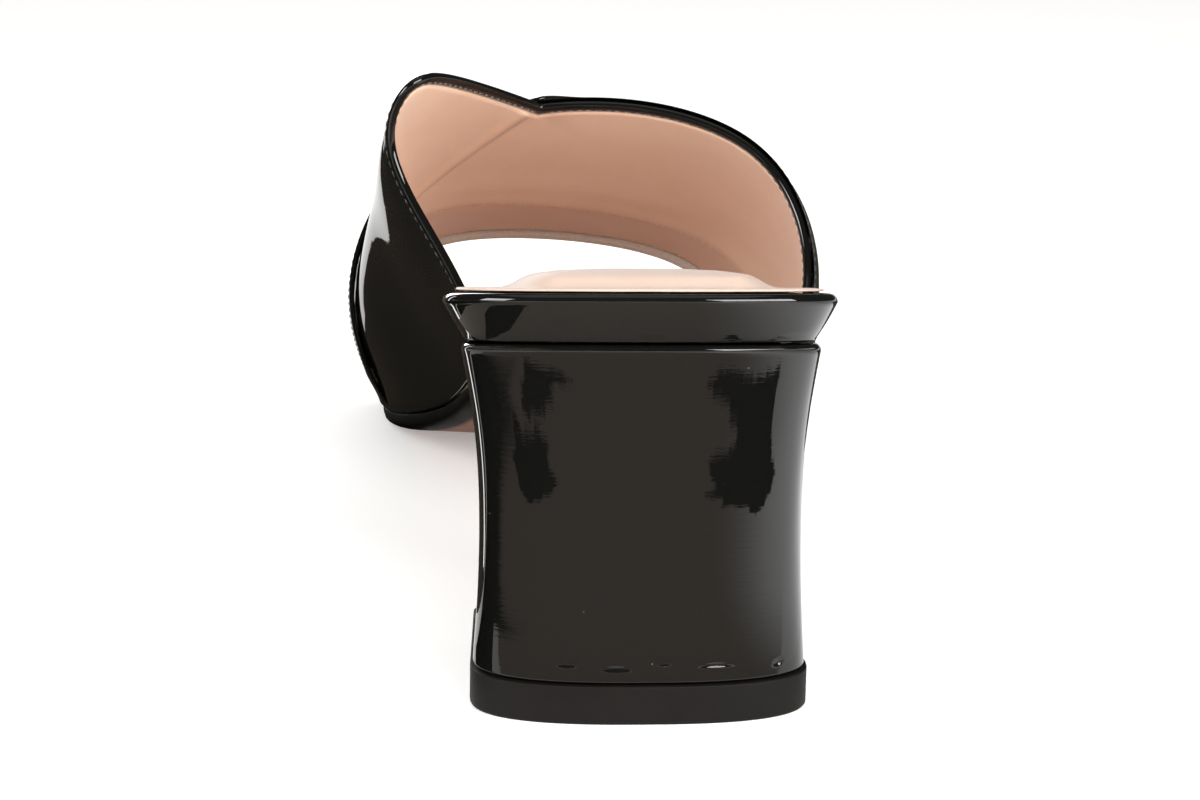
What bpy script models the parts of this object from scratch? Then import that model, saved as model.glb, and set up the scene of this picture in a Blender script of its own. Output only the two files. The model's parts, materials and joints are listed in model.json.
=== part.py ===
"""Black patent leather mule for the right foot, an assembly of seven pieces.

The shoe stands on its heel and its forefoot, with the toe along +Y, the outer side of the foot along +X
and the floor at z = 0. Lengths below are millimetres, and along is measured from the back of the heel.
"""

import math

import bmesh
import bpy
import numpy as np

MM = 0.001

# Driving dimensions
LENGTH = 246.0
CLEARANCE = 0.3
UPPER_WALL = 1.5
PANEL_WALL, PANEL_FOOT = 1.0, 0.008
BALL_SLANT, SLANT_START, SLANT_FULL, SLANT_FADE = 0.18, 60.0, 120.0, 205.0
HEEL_CURVE, HEEL_POWER = 15.0, 2.5
TOE_CURVE, TOE_POWER = 40.0, 2.3

RIM_FLARE, RIM_END = 2.3, 75.0
BOARD_EDGE, BOARD_ROUND = 0.6, 1.0

SOCK_INSET, SOCK_THICKNESS, SOCK_ROUND = 1.2, 0.7, 0.3
PAD_RISE, PAD_BORDER, PAD_SLOPE, PAD_BACK, PAD_FRONT = 2.4, 8.5, 5.5, 3.0, 226.0

OUTSOLE_START, OUTSOLE_THICKNESS, BREAST_THICKNESS, SKIVE_END = 57.2, 3.1, 1.9, 100.0
OUTSOLE_BEVEL, OUTSOLE_EDGE = 3.0, 0.55
WAIST_INSET, BALL_OUTSET, TOE_OUTSET = 1.5, 1.6, 1.2
WAIST_END, BALL_START, BALL_END, TOE_START = 80.0, 125.0, 200.0, 222.0

TOP_PIECE_HEIGHT, TOP_PIECE_PROUD, TOP_PIECE_BEVEL = 6.0, 0.4, 0.6
HEEL_BACK_CURVE, HEEL_BACK_POWER, HEEL_FRONT_CORNER, HEEL_TAPER = 12.0, 2.6, 3.0, 0.055

# Footbed from the side: height of its top, and the board's thickness under it
FOOTBED_COLUMNS = "along top board"
FOOTBED_ROWS = (
    (0, 66.0, 7.2),
    (25, 61.0, 6.8),
    (50, 55.3, 5.6),
    (75, 46.6, 4.0),
    (100, 34.2, 3.2),
    (125, 22.2, 3.0),
    (150, 13.2, 3.0),
    (170, 8.2, 3.0),
    (186, 5.9, 3.0),
    (205, 6.5, 3.0),
    (225, 8.6, 3.0),
    (246, 12.0, 3.0),
)

# Footbed from above: its two half widths, before the heel and toe are rounded off
PLAN_COLUMNS = "along medial lateral"
PLAN_ROWS = (
    (0, 29.3, 27.6),
    (30, 29.4, 27.7),
    (60, 25.2, 26.4),
    (85, 19.8, 26.2),
    (110, 20.4, 30.0),
    (135, 24.0, 34.6),
    (155, 28.8, 36.6),
    (175, 33.2, 35.8),
    (195, 35.2, 32.6),
    (212, 34.2, 29.0),
    (228, 31.8, 24.6),
    (246, 28.5, 19.0),
)

# Sections of the upper: its crown, and the widest point of each side
SECTION_COLUMNS = "along crown_x crown_z medial_x medial_z lateral_x lateral_z"
SECTION_ROWS = (
    (80, -8, 97.0, 33.4, 86, 34.4, 58),
    (100, -8, 86.5, 37.8, 68, 35.8, 52),
    (120, -7, 75.8, 39.1, 55.3, 38.6, 44),
    (145, -6, 62.3, 41.8, 38, 41.0, 33),
    (170, -8, 48.8, 42.2, 27, 40.3, 25),
    (205, -11, 35.8, 38.2, 21, 30.5, 17),
)
MEDIAL_SHOULDER, LATERAL_SHOULDER = 0.745, 0.72
SECTION_KNOTS = (0, 0.19, 0.34, 0.5, 0.66, 0.81, 1)

# Edges of the upper, where around runs from 0 at the medial feather line to 1 at the lateral one
EDGE_COLUMNS = "around along"
NOTCH_AROUND, NOTCH_ALONG = 0.485, 122.5
MEDIAL_TOPLINE_ROWS = ((0, 83.4), (0.19, 95.2), (0.34, 97.2), (0.42, 110), (NOTCH_AROUND, NOTCH_ALONG))
LATERAL_TOPLINE_ROWS = ((NOTCH_AROUND, NOTCH_ALONG), (0.56, 118.5), (0.66, 114), (0.81, 103), (1, 86))
PANEL_EDGE_ROWS = ((0, 182), (0.15, 157), (0.33, 139), (NOTCH_AROUND, NOTCH_ALONG))
TOE_EDGE_ROWS = ((0, 204), (0.19, 201), (0.34, 197), (0.5, 195.5), (0.66, 194), (0.81, 193.5), (1, 194))

# Heel block from its lower end to the seat: half width, back, front and sideways lean
HEEL_COLUMNS = "rise half back front lean"
HEEL_ROWS = (
    (0, 24.9, 5.4, 46.0, 0),
    (0.2, 24.3, 6.0, 46.4, 0),
    (0.46, 24.0, 6.2, 47.6, -0.1),
    (0.75, 24.7, 5.0, 51.8, -0.4),
    (1, 26.5, 2.6, 56.6, -0.8),
)

# Mesh resolution
END_STATIONS, LENGTH_STATIONS, PLATE_COLUMNS = 8, 26, 13
END_ANGLE, OUTSOLE_FIRST_STEP = 0.1, 2.0
AROUND_STEPS, ALONG_STEPS = 46, 15
HEEL_RINGS, HEEL_BACK_STEPS, HEEL_SIDE_STEPS, HEEL_CORNER_STEPS = 8, 24, 4, 3
NORMAL_AROUND, NORMAL_ALONG = 0.01, 1.0

# Linear colour, roughness
MATERIALS = {
    "patent_black": ((0.012, 0.012, 0.011, 1), 0.08),
    "nude_leather": ((0.62, 0.39, 0.27, 1), 0.55),
    "sole_leather": ((0.21, 0.115, 0.075, 1), 0.45),
    "rubber_black": ((0.021, 0.019, 0.017, 1), 0.6),
}


def table(columns, rows):
    """Arrays of a short table's columns, by name."""
    return dict(zip(columns.split(), np.array(rows, float).T))


def spline(knots, values):
    """Natural cubic spline through values at knots, as a function of an array."""
    knots = np.asarray(knots, float)
    values = np.asarray(values, float)
    step = np.diff(knots)
    count = len(knots)
    system = np.eye(count)
    change = np.zeros_like(values)
    for i in range(1, count - 1):
        system[i, i - 1 : i + 2] = step[i - 1], 2 * (step[i - 1] + step[i]), step[i]
        change[i] = 6 * ((values[i + 1] - values[i]) / step[i] - (values[i] - values[i - 1]) / step[i - 1])
    bend = np.linalg.solve(system, change)

    def at(where):
        where = np.asarray(where, float)
        i = np.clip(np.searchsorted(knots, where) - 1, 0, count - 2)
        wide = step[i]
        left = knots[i + 1] - where
        right = where - knots[i]
        curved = (bend[i] * left**3 + bend[i + 1] * right**3) / (6 * wide)
        straight = (values[i] / wide - bend[i] * wide / 6) * left
        return curved + straight + (values[i + 1] / wide - bend[i + 1] * wide / 6) * right

    return at


def curves(columns, rows):
    """A spline for each column of a table, over its first column."""
    columns_of = table(columns, rows)
    first, *others = columns.split()
    return {name: spline(columns_of[first], columns_of[name]) for name in others}


def ramp(start, end, value):
    """Smooth step from 0 at start to 1 at end."""
    t = np.clip((np.asarray(value, float) - start) / (end - start), 0, 1)
    return t * t * (3 - 2 * t)


FOOTBED = curves(FOOTBED_COLUMNS, FOOTBED_ROWS)
PLAN = curves(PLAN_COLUMNS, PLAN_ROWS)
SECTION = curves(SECTION_COLUMNS, SECTION_ROWS)
HEEL = curves(HEEL_COLUMNS, HEEL_ROWS)
MEDIAL_TOPLINE = curves(EDGE_COLUMNS, MEDIAL_TOPLINE_ROWS)["along"]
LATERAL_TOPLINE = curves(EDGE_COLUMNS, LATERAL_TOPLINE_ROWS)["along"]
PANEL_EDGE = curves(EDGE_COLUMNS, PANEL_EDGE_ROWS)["along"]
TOE_EDGE = curves(EDGE_COLUMNS, TOE_EDGE_ROWS)["along"]


def bed_top(x, y):
    """Height of the footbed, whose ball line slants across the foot."""
    slant = BALL_SLANT * ramp(SLANT_START, SLANT_FULL, y) * (1 - ramp(SLANT_FADE, LENGTH, y))
    return FOOTBED["top"](y + slant * x)


def board_bottom(x, y):
    return bed_top(x, y) - FOOTBED["board"](y)


def outsole_top(x, y):
    return board_bottom(x, y) - CLEARANCE


def outsole_bottom(x, y):
    """Underside of the outsole, skived thin at the heel's breast and worn flat where it treads."""
    gain = OUTSOLE_THICKNESS - BREAST_THICKNESS
    thickness = BREAST_THICKNESS + gain * ramp(OUTSOLE_START, SKIVE_END, y)
    return np.maximum(outsole_top(x, y) - thickness, 0)


def plan_stations():
    """Distances along the shoe, closer together round the heel and the toe."""
    turn = np.linspace(END_ANGLE, math.pi / 2, END_STATIONS)
    heel = HEEL_CURVE * (1 - np.cos(turn) ** (2 / HEEL_POWER))
    toe = LENGTH - TOE_CURVE * (1 - np.cos(turn[::-1]) ** (2 / TOE_POWER))
    middle = np.linspace(HEEL_CURVE, LENGTH - TOE_CURVE, LENGTH_STATIONS)
    return np.concatenate([heel[:-1], middle, toe[1:]])


def plan_edges(y):
    """Medial and lateral x of the footbed's outline."""
    back = np.clip(1 - y / HEEL_CURVE, 0, 1)
    front = np.clip((y - LENGTH + TOE_CURVE) / TOE_CURVE, 0, 1)
    rounding = (1 - back**HEEL_POWER) ** (1 / HEEL_POWER) * (1 - front**TOE_POWER) ** (1 / TOE_POWER)
    centre = (PLAN["lateral"](y) - PLAN["medial"](y)) / 2
    half = (PLAN["lateral"](y) + PLAN["medial"](y)) / 2 * rounding
    return centre - half, centre + half


def inset_edges(y, inset):
    """The footbed's outline moved inward along its own normal; inset is one value for each station."""
    medial, lateral = plan_edges(y)
    loop = np.concatenate([np.stack([lateral, y], 1), np.stack([medial, y], 1)[::-1]])
    run = np.roll(loop, -1, axis=0) - np.roll(loop, 1, axis=0)
    run /= np.linalg.norm(run, axis=1, keepdims=True)
    inward = np.stack([-run[:, 1], run[:, 0]], 1)
    moved = loop + inward * np.concatenate([inset, inset[::-1]])[:, None]
    return moved[len(y) :][::-1], moved[: len(y)]


def plan_grid(y, inset):
    """Grid of x and y inside the outline, a row for each station, from the medial to the lateral edge."""
    medial, lateral = inset_edges(y, np.broadcast_to(np.asarray(inset, float), y.shape))
    across = np.linspace(0, 1, PLATE_COLUMNS)[None, :, None]
    grid = medial[:, None] * (1 - across) + lateral[:, None] * across
    return grid[..., 0], grid[..., 1]


def layer(grid, height):
    """Points of a plan grid raised to the heights given."""
    return np.stack([*grid, np.broadcast_to(height, grid[0].shape)], -1)


def material(name):
    """One of the materials above, made the first time it is asked for."""
    found = bpy.data.materials.get(name)
    if found:
        return found
    colour, roughness = MATERIALS[name]
    made = bpy.data.materials.new(name)
    made.use_nodes = True
    shader = made.node_tree.nodes["Principled BSDF"]
    shader.inputs["Base Color"].default_value = colour
    shader.inputs["Roughness"].default_value = roughness
    shader.inputs["Metallic"].default_value = 0
    made.diffuse_color = colour
    return made


def add_object(name, bm, material_name):
    """Object of a finished bmesh, shaded smooth."""
    mesh = bpy.data.meshes.new(name)
    bm.to_mesh(mesh)
    bm.free()
    mesh.shade_smooth()
    mesh.materials.append(material(material_name))
    made = bpy.data.objects.new(name, mesh)
    bpy.context.scene.collection.objects.link(made)
    return made


def add_closed_object(name, bm, material_name):
    """Object of a closed bmesh, with its faces turned outward."""
    bmesh.ops.recalc_face_normals(bm, faces=bm.faces)
    return add_object(name, bm, material_name)


def grid_vertices(bm, points):
    return [[bm.verts.new(point * MM) for point in row] for row in points]


def fill_grid(bm, vertices):
    """Faces between the rows and columns of a grid of vertices."""
    for low, high in zip(vertices, vertices[1:]):
        for a, b, c, d in zip(low, low[1:], high[1:], high):
            bm.faces.new((a, b, c, d))


def fill_between(bm, lower, upper):
    """Faces between two closed rings with the same number of vertices."""
    for i, vertex in enumerate(lower):
        after = (i + 1) % len(lower)
        bm.faces.new((vertex, lower[after], upper[after], upper[i]))


def rim_of(grid):
    """The outer ring of a grid of points or vertices, in order."""
    across = list(grid[0])
    down = [row[-1] for row in grid[1:]]
    back = list(grid[-1])[-2::-1]
    up = [row[0] for row in grid[-2:0:-1]]
    return across + down + back + up


def add_plate(name, layers, material_name):
    """Closed plate: its lowest and highest layers are grids, and those between only shape its edge."""
    bm = bmesh.new()
    bottom = grid_vertices(bm, layers[0])
    top = grid_vertices(bm, layers[-1])
    fill_grid(bm, bottom)
    fill_grid(bm, top)
    rings = [rim_of(bottom)]
    rings += [[bm.verts.new(point * MM) for point in rim_of(middle)] for middle in layers[1:-1]]
    rings += [rim_of(top)]
    for lower, upper in zip(rings, rings[1:]):
        fill_between(bm, lower, upper)
    return add_closed_object(name, bm, material_name)


def add_insole_board():
    """Board whose patent-covered edge flares out into a deep rim round the heel seat."""
    y = plan_stations()
    flare = BOARD_EDGE + RIM_FLARE * (1 - ramp(HEEL_CURVE, RIM_END, y))
    bottom = plan_grid(y, flare)
    edge = plan_grid(y, 0)
    top = plan_grid(y, BOARD_ROUND)
    layers = [
        layer(bottom, board_bottom(*bottom)),
        layer(edge, bed_top(*edge) - BOARD_ROUND),
        layer(top, bed_top(*top)),
    ]
    return add_plate("insole_board", layers, "patent_black")


def pad_height(x, y):
    """Rise of the cushion under the sock, inside a flat border."""
    medial, lateral = plan_edges(y)
    side = np.minimum(x - medial, lateral - x) - PAD_BORDER
    inside = np.minimum(np.minimum(side, y - PAD_BACK), PAD_FRONT - y)
    return PAD_RISE * ramp(0, PAD_SLOPE, inside)


def add_sock_lining():
    y = plan_stations()
    edge = plan_grid(y, SOCK_INSET)
    top = plan_grid(y, SOCK_INSET + SOCK_ROUND)
    rest = bed_top(*edge) + CLEARANCE
    layers = [
        layer(edge, rest),
        layer(edge, rest + SOCK_THICKNESS - SOCK_ROUND),
        layer(top, bed_top(*top) + CLEARANCE + SOCK_THICKNESS + pad_height(*top)),
    ]
    return add_plate("sock_lining", layers, "nude_leather")


def add_outsole():
    """Thin sole from the heel's breast to the toe, narrow at the waist and wider under the upper."""
    y = plan_stations()
    y = np.concatenate([[OUTSOLE_START], y[y > OUTSOLE_START + OUTSOLE_FIRST_STEP]])
    outset = -WAIST_INSET + (WAIST_INSET + BALL_OUTSET) * ramp(WAIST_END, BALL_START, y)
    outset += (TOE_OUTSET - BALL_OUTSET) * ramp(BALL_END, TOE_START, y)
    bottom = plan_grid(y, OUTSOLE_BEVEL - outset)
    edge = plan_grid(y, -outset)
    layers = [
        layer(bottom, outsole_bottom(*bottom)),
        layer(edge, outsole_top(*edge) * (1 - OUTSOLE_EDGE) + outsole_bottom(*edge) * OUTSOLE_EDGE),
        layer(edge, outsole_top(*edge)),
    ]
    for points in layers:
        points[0, :, 1] = OUTSOLE_START
    return add_plate("outsole", layers, "sole_leather")


def heel_outline(half, back, front, outset=0):
    """Ring round the heel in plan: rounded back, tapering sides and a flat front with small corners."""
    half, back, front = half + outset, back - outset, front + outset
    turn = np.linspace(-math.pi / 2, math.pi / 2, HEEL_BACK_STEPS + 1)
    power = 2 / HEEL_BACK_POWER
    ring = []
    for t in turn:
        reach = half * math.copysign(abs(math.sin(t)) ** power, t)
        ring.append((reach, back + HEEL_BACK_CURVE * (1 - math.cos(t) ** power)))
    corner = HEEL_FRONT_CORNER
    widest = back + HEEL_BACK_CURVE
    sides = np.linspace(widest, front - corner, HEEL_SIDE_STEPS + 1)[1:]
    ring += [(half - HEEL_TAPER * (y - widest), y) for y in sides]
    narrow = ring[-1][0] - corner
    bend = np.linspace(0, math.pi / 2, HEEL_CORNER_STEPS + 1)[1:]
    ring += [(narrow + corner * math.cos(t), front - corner * (1 - math.sin(t))) for t in bend]
    ring += [(-x, y) for x, y in ring[: HEEL_BACK_STEPS : -1]]
    return np.array(ring)


def add_heel_block():
    """Block that narrows to a waist, cut along the underside of the sloping seat."""
    bm = bmesh.new()
    rings = []
    floor = TOP_PIECE_HEIGHT + CLEARANCE
    for rise in np.linspace(0, 1, HEEL_RINGS + 1):
        x, y = heel_outline(*(float(HEEL[name](rise)) for name in ("half", "back", "front"))).T
        x = x + HEEL["lean"](rise)
        seat = board_bottom(x, y) - CLEARANCE
        points = np.stack([x, y, floor + rise * (seat - floor)], 1)
        rings.append([bm.verts.new(point * MM) for point in points])
    for lower, upper in zip(rings, rings[1:]):
        fill_between(bm, lower, upper)
    for ring in (rings[0], rings[-1]):
        close_heel_end(bm, ring)
    return add_closed_object("heel_block", bm, "patent_black")


def close_heel_end(bm, ring):
    """Strips across the heel's end, from each vertex to its mirror image on the other side."""
    middle = HEEL_BACK_STEPS // 2
    pairs = range(1, len(ring) // 2 + 1)
    left = [ring[middle - i] for i in pairs]
    right = [ring[(middle + i) % len(ring)] for i in pairs]
    bm.faces.new((ring[middle], right[0], left[0]))
    for a, b, c, d in zip(left, right, right[1:], left[1:]):
        bm.faces.new((a, b, c, d))


def add_heel_top_piece():
    """Rubber lift, a little proud of the block above it."""
    bm = bmesh.new()
    ends = [float(HEEL[name](0)) for name in ("half", "back", "front")]
    profile = (
        (0, TOP_PIECE_PROUD - TOP_PIECE_BEVEL),
        (TOP_PIECE_BEVEL, TOP_PIECE_PROUD),
        (TOP_PIECE_HEIGHT, TOP_PIECE_PROUD),
    )
    rings = []
    for height, outset in profile:
        outline = heel_outline(*ends, outset)
        rings.append([bm.verts.new((x * MM, y * MM, height * MM)) for x, y in outline])
    for lower, upper in zip(rings, rings[1:]):
        fill_between(bm, lower, upper)
    close_heel_end(bm, rings[0])
    close_heel_end(bm, rings[-1])
    return add_closed_object("heel_top_piece", bm, "rubber_black")


def section_at(y):
    """Points of the upper's section at one station, from the medial to the lateral feather line."""
    at = {name: float(along(y)) for name, along in SECTION.items()}
    foot = UPPER_WALL + CLEARANCE
    medial = -float(PLAN["medial"](y)) - foot
    lateral = float(PLAN["lateral"](y)) + foot

    def shoulder(side_x, side_z, reach):
        return (
            at["crown_x"] + (side_x - at["crown_x"]) * reach,
            side_z + (at["crown_z"] - side_z) * reach,
        )

    return np.array([
        (medial, board_bottom(medial, y)),
        (-at["medial_x"], at["medial_z"]),
        shoulder(-at["medial_x"], at["medial_z"], MEDIAL_SHOULDER),
        (at["crown_x"], at["crown_z"]),
        shoulder(at["lateral_x"], at["lateral_z"], LATERAL_SHOULDER),
        (at["lateral_x"], at["lateral_z"]),
        (lateral, board_bottom(lateral, y)),
    ])


def upper_point(around, y):
    """Point of the upper's outer surface."""
    points = section_at(y)
    x = spline(SECTION_KNOTS, points[:, 0])(around)
    z = spline(SECTION_KNOTS, points[:, 1])(around)
    return np.array([float(x), y, float(z)])


def upper_normal(around, y):
    """Outward normal of that surface."""
    low, high = max(around - NORMAL_AROUND, 0), min(around + NORMAL_AROUND, 1)
    across = upper_point(high, y) - upper_point(low, y)
    along = upper_point(around, y + NORMAL_ALONG) - upper_point(around, y - NORMAL_ALONG)
    normal = np.cross(across, along)
    return normal / np.linalg.norm(normal)


def around_steps(foot):
    """Positions round the upper, one of them at the notch of the topline, starting foot above the sole."""
    medial = np.linspace(foot, NOTCH_AROUND, AROUND_STEPS // 2 + 1)
    lateral = np.linspace(NOTCH_AROUND, 1 - foot, AROUND_STEPS // 2 + 1)
    return np.concatenate([medial, lateral[1:]])


def add_shell(name, medial_edge, outset, wall, foot=0):
    """Band from its rear edge to the toe edge, off the upper's surface; a wall below 0 goes inward."""
    bm = bmesh.new()
    points = []
    for around in around_steps(foot)[::-1]:
        rear = medial_edge if around < NOTCH_AROUND else LATERAL_TOPLINE
        stations = np.linspace(float(rear(around)), float(TOE_EDGE(around)), ALONG_STEPS)
        points.append([upper_point(around, y) + outset * upper_normal(around, y) for y in stations])
    fill_grid(bm, grid_vertices(bm, points))
    made = add_object(name, bm, "patent_black")
    shell = made.modifiers.new("wall", "SOLIDIFY")
    shell.thickness = abs(wall) * MM
    shell.offset = math.copysign(1, wall)
    shell.use_even_offset = True
    return made


def stand_at_origin(parts):
    """Parents the pieces to one empty, so that the shoe's footprint is centred on the origin."""
    bpy.context.view_layer.update()
    graph = bpy.context.evaluated_depsgraph_get()
    corners = np.array([corner for part in parts for corner in part.evaluated_get(graph).bound_box])
    shoe = bpy.data.objects.new("mule", None)
    shoe.location = (*-(corners.min(0) + corners.max(0))[:2] / 2, 0)
    bpy.context.scene.collection.objects.link(shoe)
    for part in parts:
        part.parent = shoe


def main():
    for existing in list(bpy.data.objects):
        bpy.data.objects.remove(existing)
    stand_at_origin([
        add_outsole(),
        add_heel_top_piece(),
        add_heel_block(),
        add_insole_board(),
        add_sock_lining(),
        add_shell("upper", MEDIAL_TOPLINE, 0, -UPPER_WALL),
        add_shell("cross_panel", PANEL_EDGE, CLEARANCE, PANEL_WALL, PANEL_FOOT),
    ])


main()
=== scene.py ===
# %% [markdown]
# This lesson dresses one shoe in Blender: a black patent leather mule with a covered block heel, seen
# from behind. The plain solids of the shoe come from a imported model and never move. Each step takes one
# piece of the real shoe, says how a shoemaker makes it, and builds a finer mesh in the same place, so
# that the dressed shoe keeps the solids' sizes. All lengths are millimetres until the last moment, when a
# mesh is made in metres.

# %% Load the solids
import json
import math

import bmesh
import bpy
import numpy as np
from mathutils import Matrix, Vector

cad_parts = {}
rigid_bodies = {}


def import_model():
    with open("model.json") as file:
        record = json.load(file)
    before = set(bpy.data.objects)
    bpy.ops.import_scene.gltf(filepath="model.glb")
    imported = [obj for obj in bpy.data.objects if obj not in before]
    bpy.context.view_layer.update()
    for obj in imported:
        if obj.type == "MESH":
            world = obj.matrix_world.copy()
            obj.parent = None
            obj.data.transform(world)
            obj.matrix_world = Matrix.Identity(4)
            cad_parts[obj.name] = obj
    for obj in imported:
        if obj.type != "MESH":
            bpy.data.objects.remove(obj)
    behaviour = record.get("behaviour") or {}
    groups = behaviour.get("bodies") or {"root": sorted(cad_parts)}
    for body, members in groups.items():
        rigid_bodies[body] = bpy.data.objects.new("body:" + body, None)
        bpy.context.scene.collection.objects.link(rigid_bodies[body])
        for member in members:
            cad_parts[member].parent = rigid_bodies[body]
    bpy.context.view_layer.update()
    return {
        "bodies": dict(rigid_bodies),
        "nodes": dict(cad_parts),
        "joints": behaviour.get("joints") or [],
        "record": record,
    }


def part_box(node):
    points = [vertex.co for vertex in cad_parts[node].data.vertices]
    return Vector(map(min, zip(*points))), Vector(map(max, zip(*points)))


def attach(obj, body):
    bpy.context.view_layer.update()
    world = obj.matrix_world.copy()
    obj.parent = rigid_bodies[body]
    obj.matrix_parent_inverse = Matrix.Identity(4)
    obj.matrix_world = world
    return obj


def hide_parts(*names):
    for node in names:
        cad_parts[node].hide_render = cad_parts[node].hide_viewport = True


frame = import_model()
MM = 0.001
print("solids:", ", ".join(sorted(frame["nodes"])))

# %% [markdown]
# A shoe is built round a last, a smooth block in the shape of a foot. Its curves can be written as short
# tables with a row for each station along the foot, and a spline runs smoothly through the rows. This
# could also be sculpted by hand, but a table keeps the dressed shoe on the same curves as the solids, at
# any resolution.

# %% Splines through short tables
def spline(knots, values):
    """Natural cubic spline through values at knots, as a function of an array."""
    knots, values = np.asarray(knots, float), np.asarray(values, float)
    step, count = np.diff(knots), len(knots)
    system, change = np.eye(count), np.zeros_like(values)
    slope = np.diff(values) / step
    for i in range(1, count - 1):
        system[i, i - 1 : i + 2] = step[i - 1], 2 * (step[i - 1] + step[i]), step[i]
        change[i] = 6 * (slope[i] - slope[i - 1])
    bend = np.linalg.solve(system, change)

    def at(where):
        where = np.asarray(where, float)
        i = np.clip(np.searchsorted(knots, where) - 1, 0, count - 2)
        wide, left, right = step[i], knots[i + 1] - where, where - knots[i]
        curved = (bend[i] * left**3 + bend[i + 1] * right**3) / (6 * wide)
        straight = (values[i] / wide - bend[i] * wide / 6) * left
        return curved + straight + (values[i + 1] / wide - bend[i + 1] * wide / 6) * right

    return at


def curves(columns, rows):
    """A spline for each column of a table, over its first column."""
    first, *others = columns.split()
    stations, *values = np.array(rows, float).T
    return {name: spline(stations, column) for name, column in zip(others, values)}


def ramp(start, end, value):
    """Smooth step from 0 at start to 1 at end."""
    t = np.clip((np.asarray(value, float) - start) / (end - start), 0, 1)
    return t * t * (3 - 2 * t)


# %% [markdown]
# The footbed is the surface that the foot stands on. From the side it falls from the heel seat to the
# ball and rises a little at the toe; from above it is the outline of a right foot. Distances along the
# shoe start at the back of the heel seat. The rubber lift under the heel tells where that point lies in
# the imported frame.

# %% The footbed and its outline
LENGTH, CLEARANCE = 246.0, 0.3
BALL_SLANT, SLANT_START, SLANT_FULL, SLANT_FADE = 0.18, 60.0, 120.0, 205.0
HEEL_CURVE, HEEL_POWER = 15.0, 2.5
TOE_CURVE, TOE_POWER = 40.0, 2.3
FOOTBED = curves("along top board", (
    (0, 66.0, 7.2), (25, 61.0, 6.8), (50, 55.3, 5.6), (75, 46.6, 4.0), (100, 34.2, 3.2), (125, 22.2, 3.0),
    (150, 13.2, 3.0), (170, 8.2, 3.0), (186, 5.9, 3.0), (205, 6.5, 3.0), (225, 8.6, 3.0), (246, 12.0, 3.0),
))
PLAN = curves("along medial lateral", (
    (0, 29.3, 27.6), (30, 29.4, 27.7), (60, 25.2, 26.4), (85, 19.8, 26.2), (110, 20.4, 30.0),
    (135, 24.0, 34.6), (155, 28.8, 36.6), (175, 33.2, 35.8), (195, 35.2, 32.6), (212, 34.2, 29.0),
    (228, 31.8, 24.6), (246, 28.5, 19.0),
))
LIFT_BACK = 5.0
lift_low, lift_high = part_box("heel_top_piece")
SHOE_PLACE = np.array([(lift_low.x + lift_high.x) / 2, lift_low.y - LIFT_BACK * MM, 0])


def bed_top(x, y):
    """Height of the footbed, whose ball line slants across the foot."""
    slant = BALL_SLANT * ramp(SLANT_START, SLANT_FULL, y) * (1 - ramp(SLANT_FADE, LENGTH, y))
    return FOOTBED["top"](y + slant * x)


def board_bottom(x, y):
    return bed_top(x, y) - FOOTBED["board"](y)


def plan_edges(y):
    """Medial and lateral x of the footbed's outline."""
    back = np.clip(1 - y / HEEL_CURVE, 0, 1)
    front = np.clip((y - LENGTH + TOE_CURVE) / TOE_CURVE, 0, 1)
    rounding = (1 - back**HEEL_POWER) ** (1 / HEEL_POWER) * (1 - front**TOE_POWER) ** (1 / TOE_POWER)
    medial, lateral = PLAN["medial"](y), PLAN["lateral"](y)
    centre, half = (lateral - medial) / 2, (lateral + medial) / 2 * rounding
    return centre - half, centre + half


print("heel seat in the frame:", SHOE_PLACE.round(5))

# %% [markdown]
# Every plate of the shoe follows that outline at its own inset. A grid of points inside the outline
# carries the wide faces, and a few rings between the lower and the upper grid round off the edge.
# Modelling by such layers is like sanding a stack of boards: each ring is one cut of the edge.

# %% Plates that follow the outline
END_ANGLE = 0.02


def stations(ends, middle):
    """Distances along the shoe, closer together round the heel and the toe."""
    turn = np.linspace(END_ANGLE, math.pi / 2, ends)
    heel = HEEL_CURVE * (1 - np.cos(turn) ** (2 / HEEL_POWER))
    toe = LENGTH - TOE_CURVE * (1 - np.cos(turn[::-1]) ** (2 / TOE_POWER))
    return np.concatenate([heel[:-1], np.linspace(HEEL_CURVE, LENGTH - TOE_CURVE, middle), toe[1:]])


def inset_edges(y, inset):
    """The medial and the lateral outline, moved inward by an inset for each station."""
    medial, lateral = plan_edges(y)
    loop = np.concatenate([np.stack([lateral, y], 1), np.stack([medial, y], 1)[::-1]])
    run = np.roll(loop, -1, axis=0) - np.roll(loop, 1, axis=0)
    run /= np.linalg.norm(run, axis=1, keepdims=True)
    inward = np.stack([-run[:, 1], run[:, 0]], 1)
    inset = np.broadcast_to(np.asarray(inset, float), y.shape)
    moved = loop + inward * np.concatenate([inset, inset[::-1]])[:, None]
    return moved[len(y) :][::-1], moved[: len(y)]


def plan_grid(y, inset, columns):
    """Grid of x and y inside the outline, a row for each station, from the medial to the lateral edge."""
    medial, lateral = inset_edges(y, inset)
    across = np.linspace(0, 1, columns)[None, :, None]
    grid = medial[:, None] * (1 - across) + lateral[:, None] * across
    return grid[..., 0], grid[..., 1]


def grid_faces(rows, columns, first=0):
    """Quads of a grid of points, and the indices of its outer ring."""
    index = first + np.arange(rows * columns).reshape(rows, columns)
    corners = [index[:-1, :-1], index[:-1, 1:], index[1:, 1:], index[1:, :-1]]
    ring = [index[0], index[1:, -1], index[-1, -2::-1], index[-2:0:-1, 0]]
    return np.stack(corners, -1).reshape(-1, 4), np.concatenate(ring)


def walls(rings):
    """Quads between closed rings of indices, each ring above the one before."""
    pairs = zip(rings, rings[1:])
    quads = [np.stack([low, np.roll(low, -1), np.roll(high, -1), high], 1) for low, high in pairs]
    return np.concatenate(quads)


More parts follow.
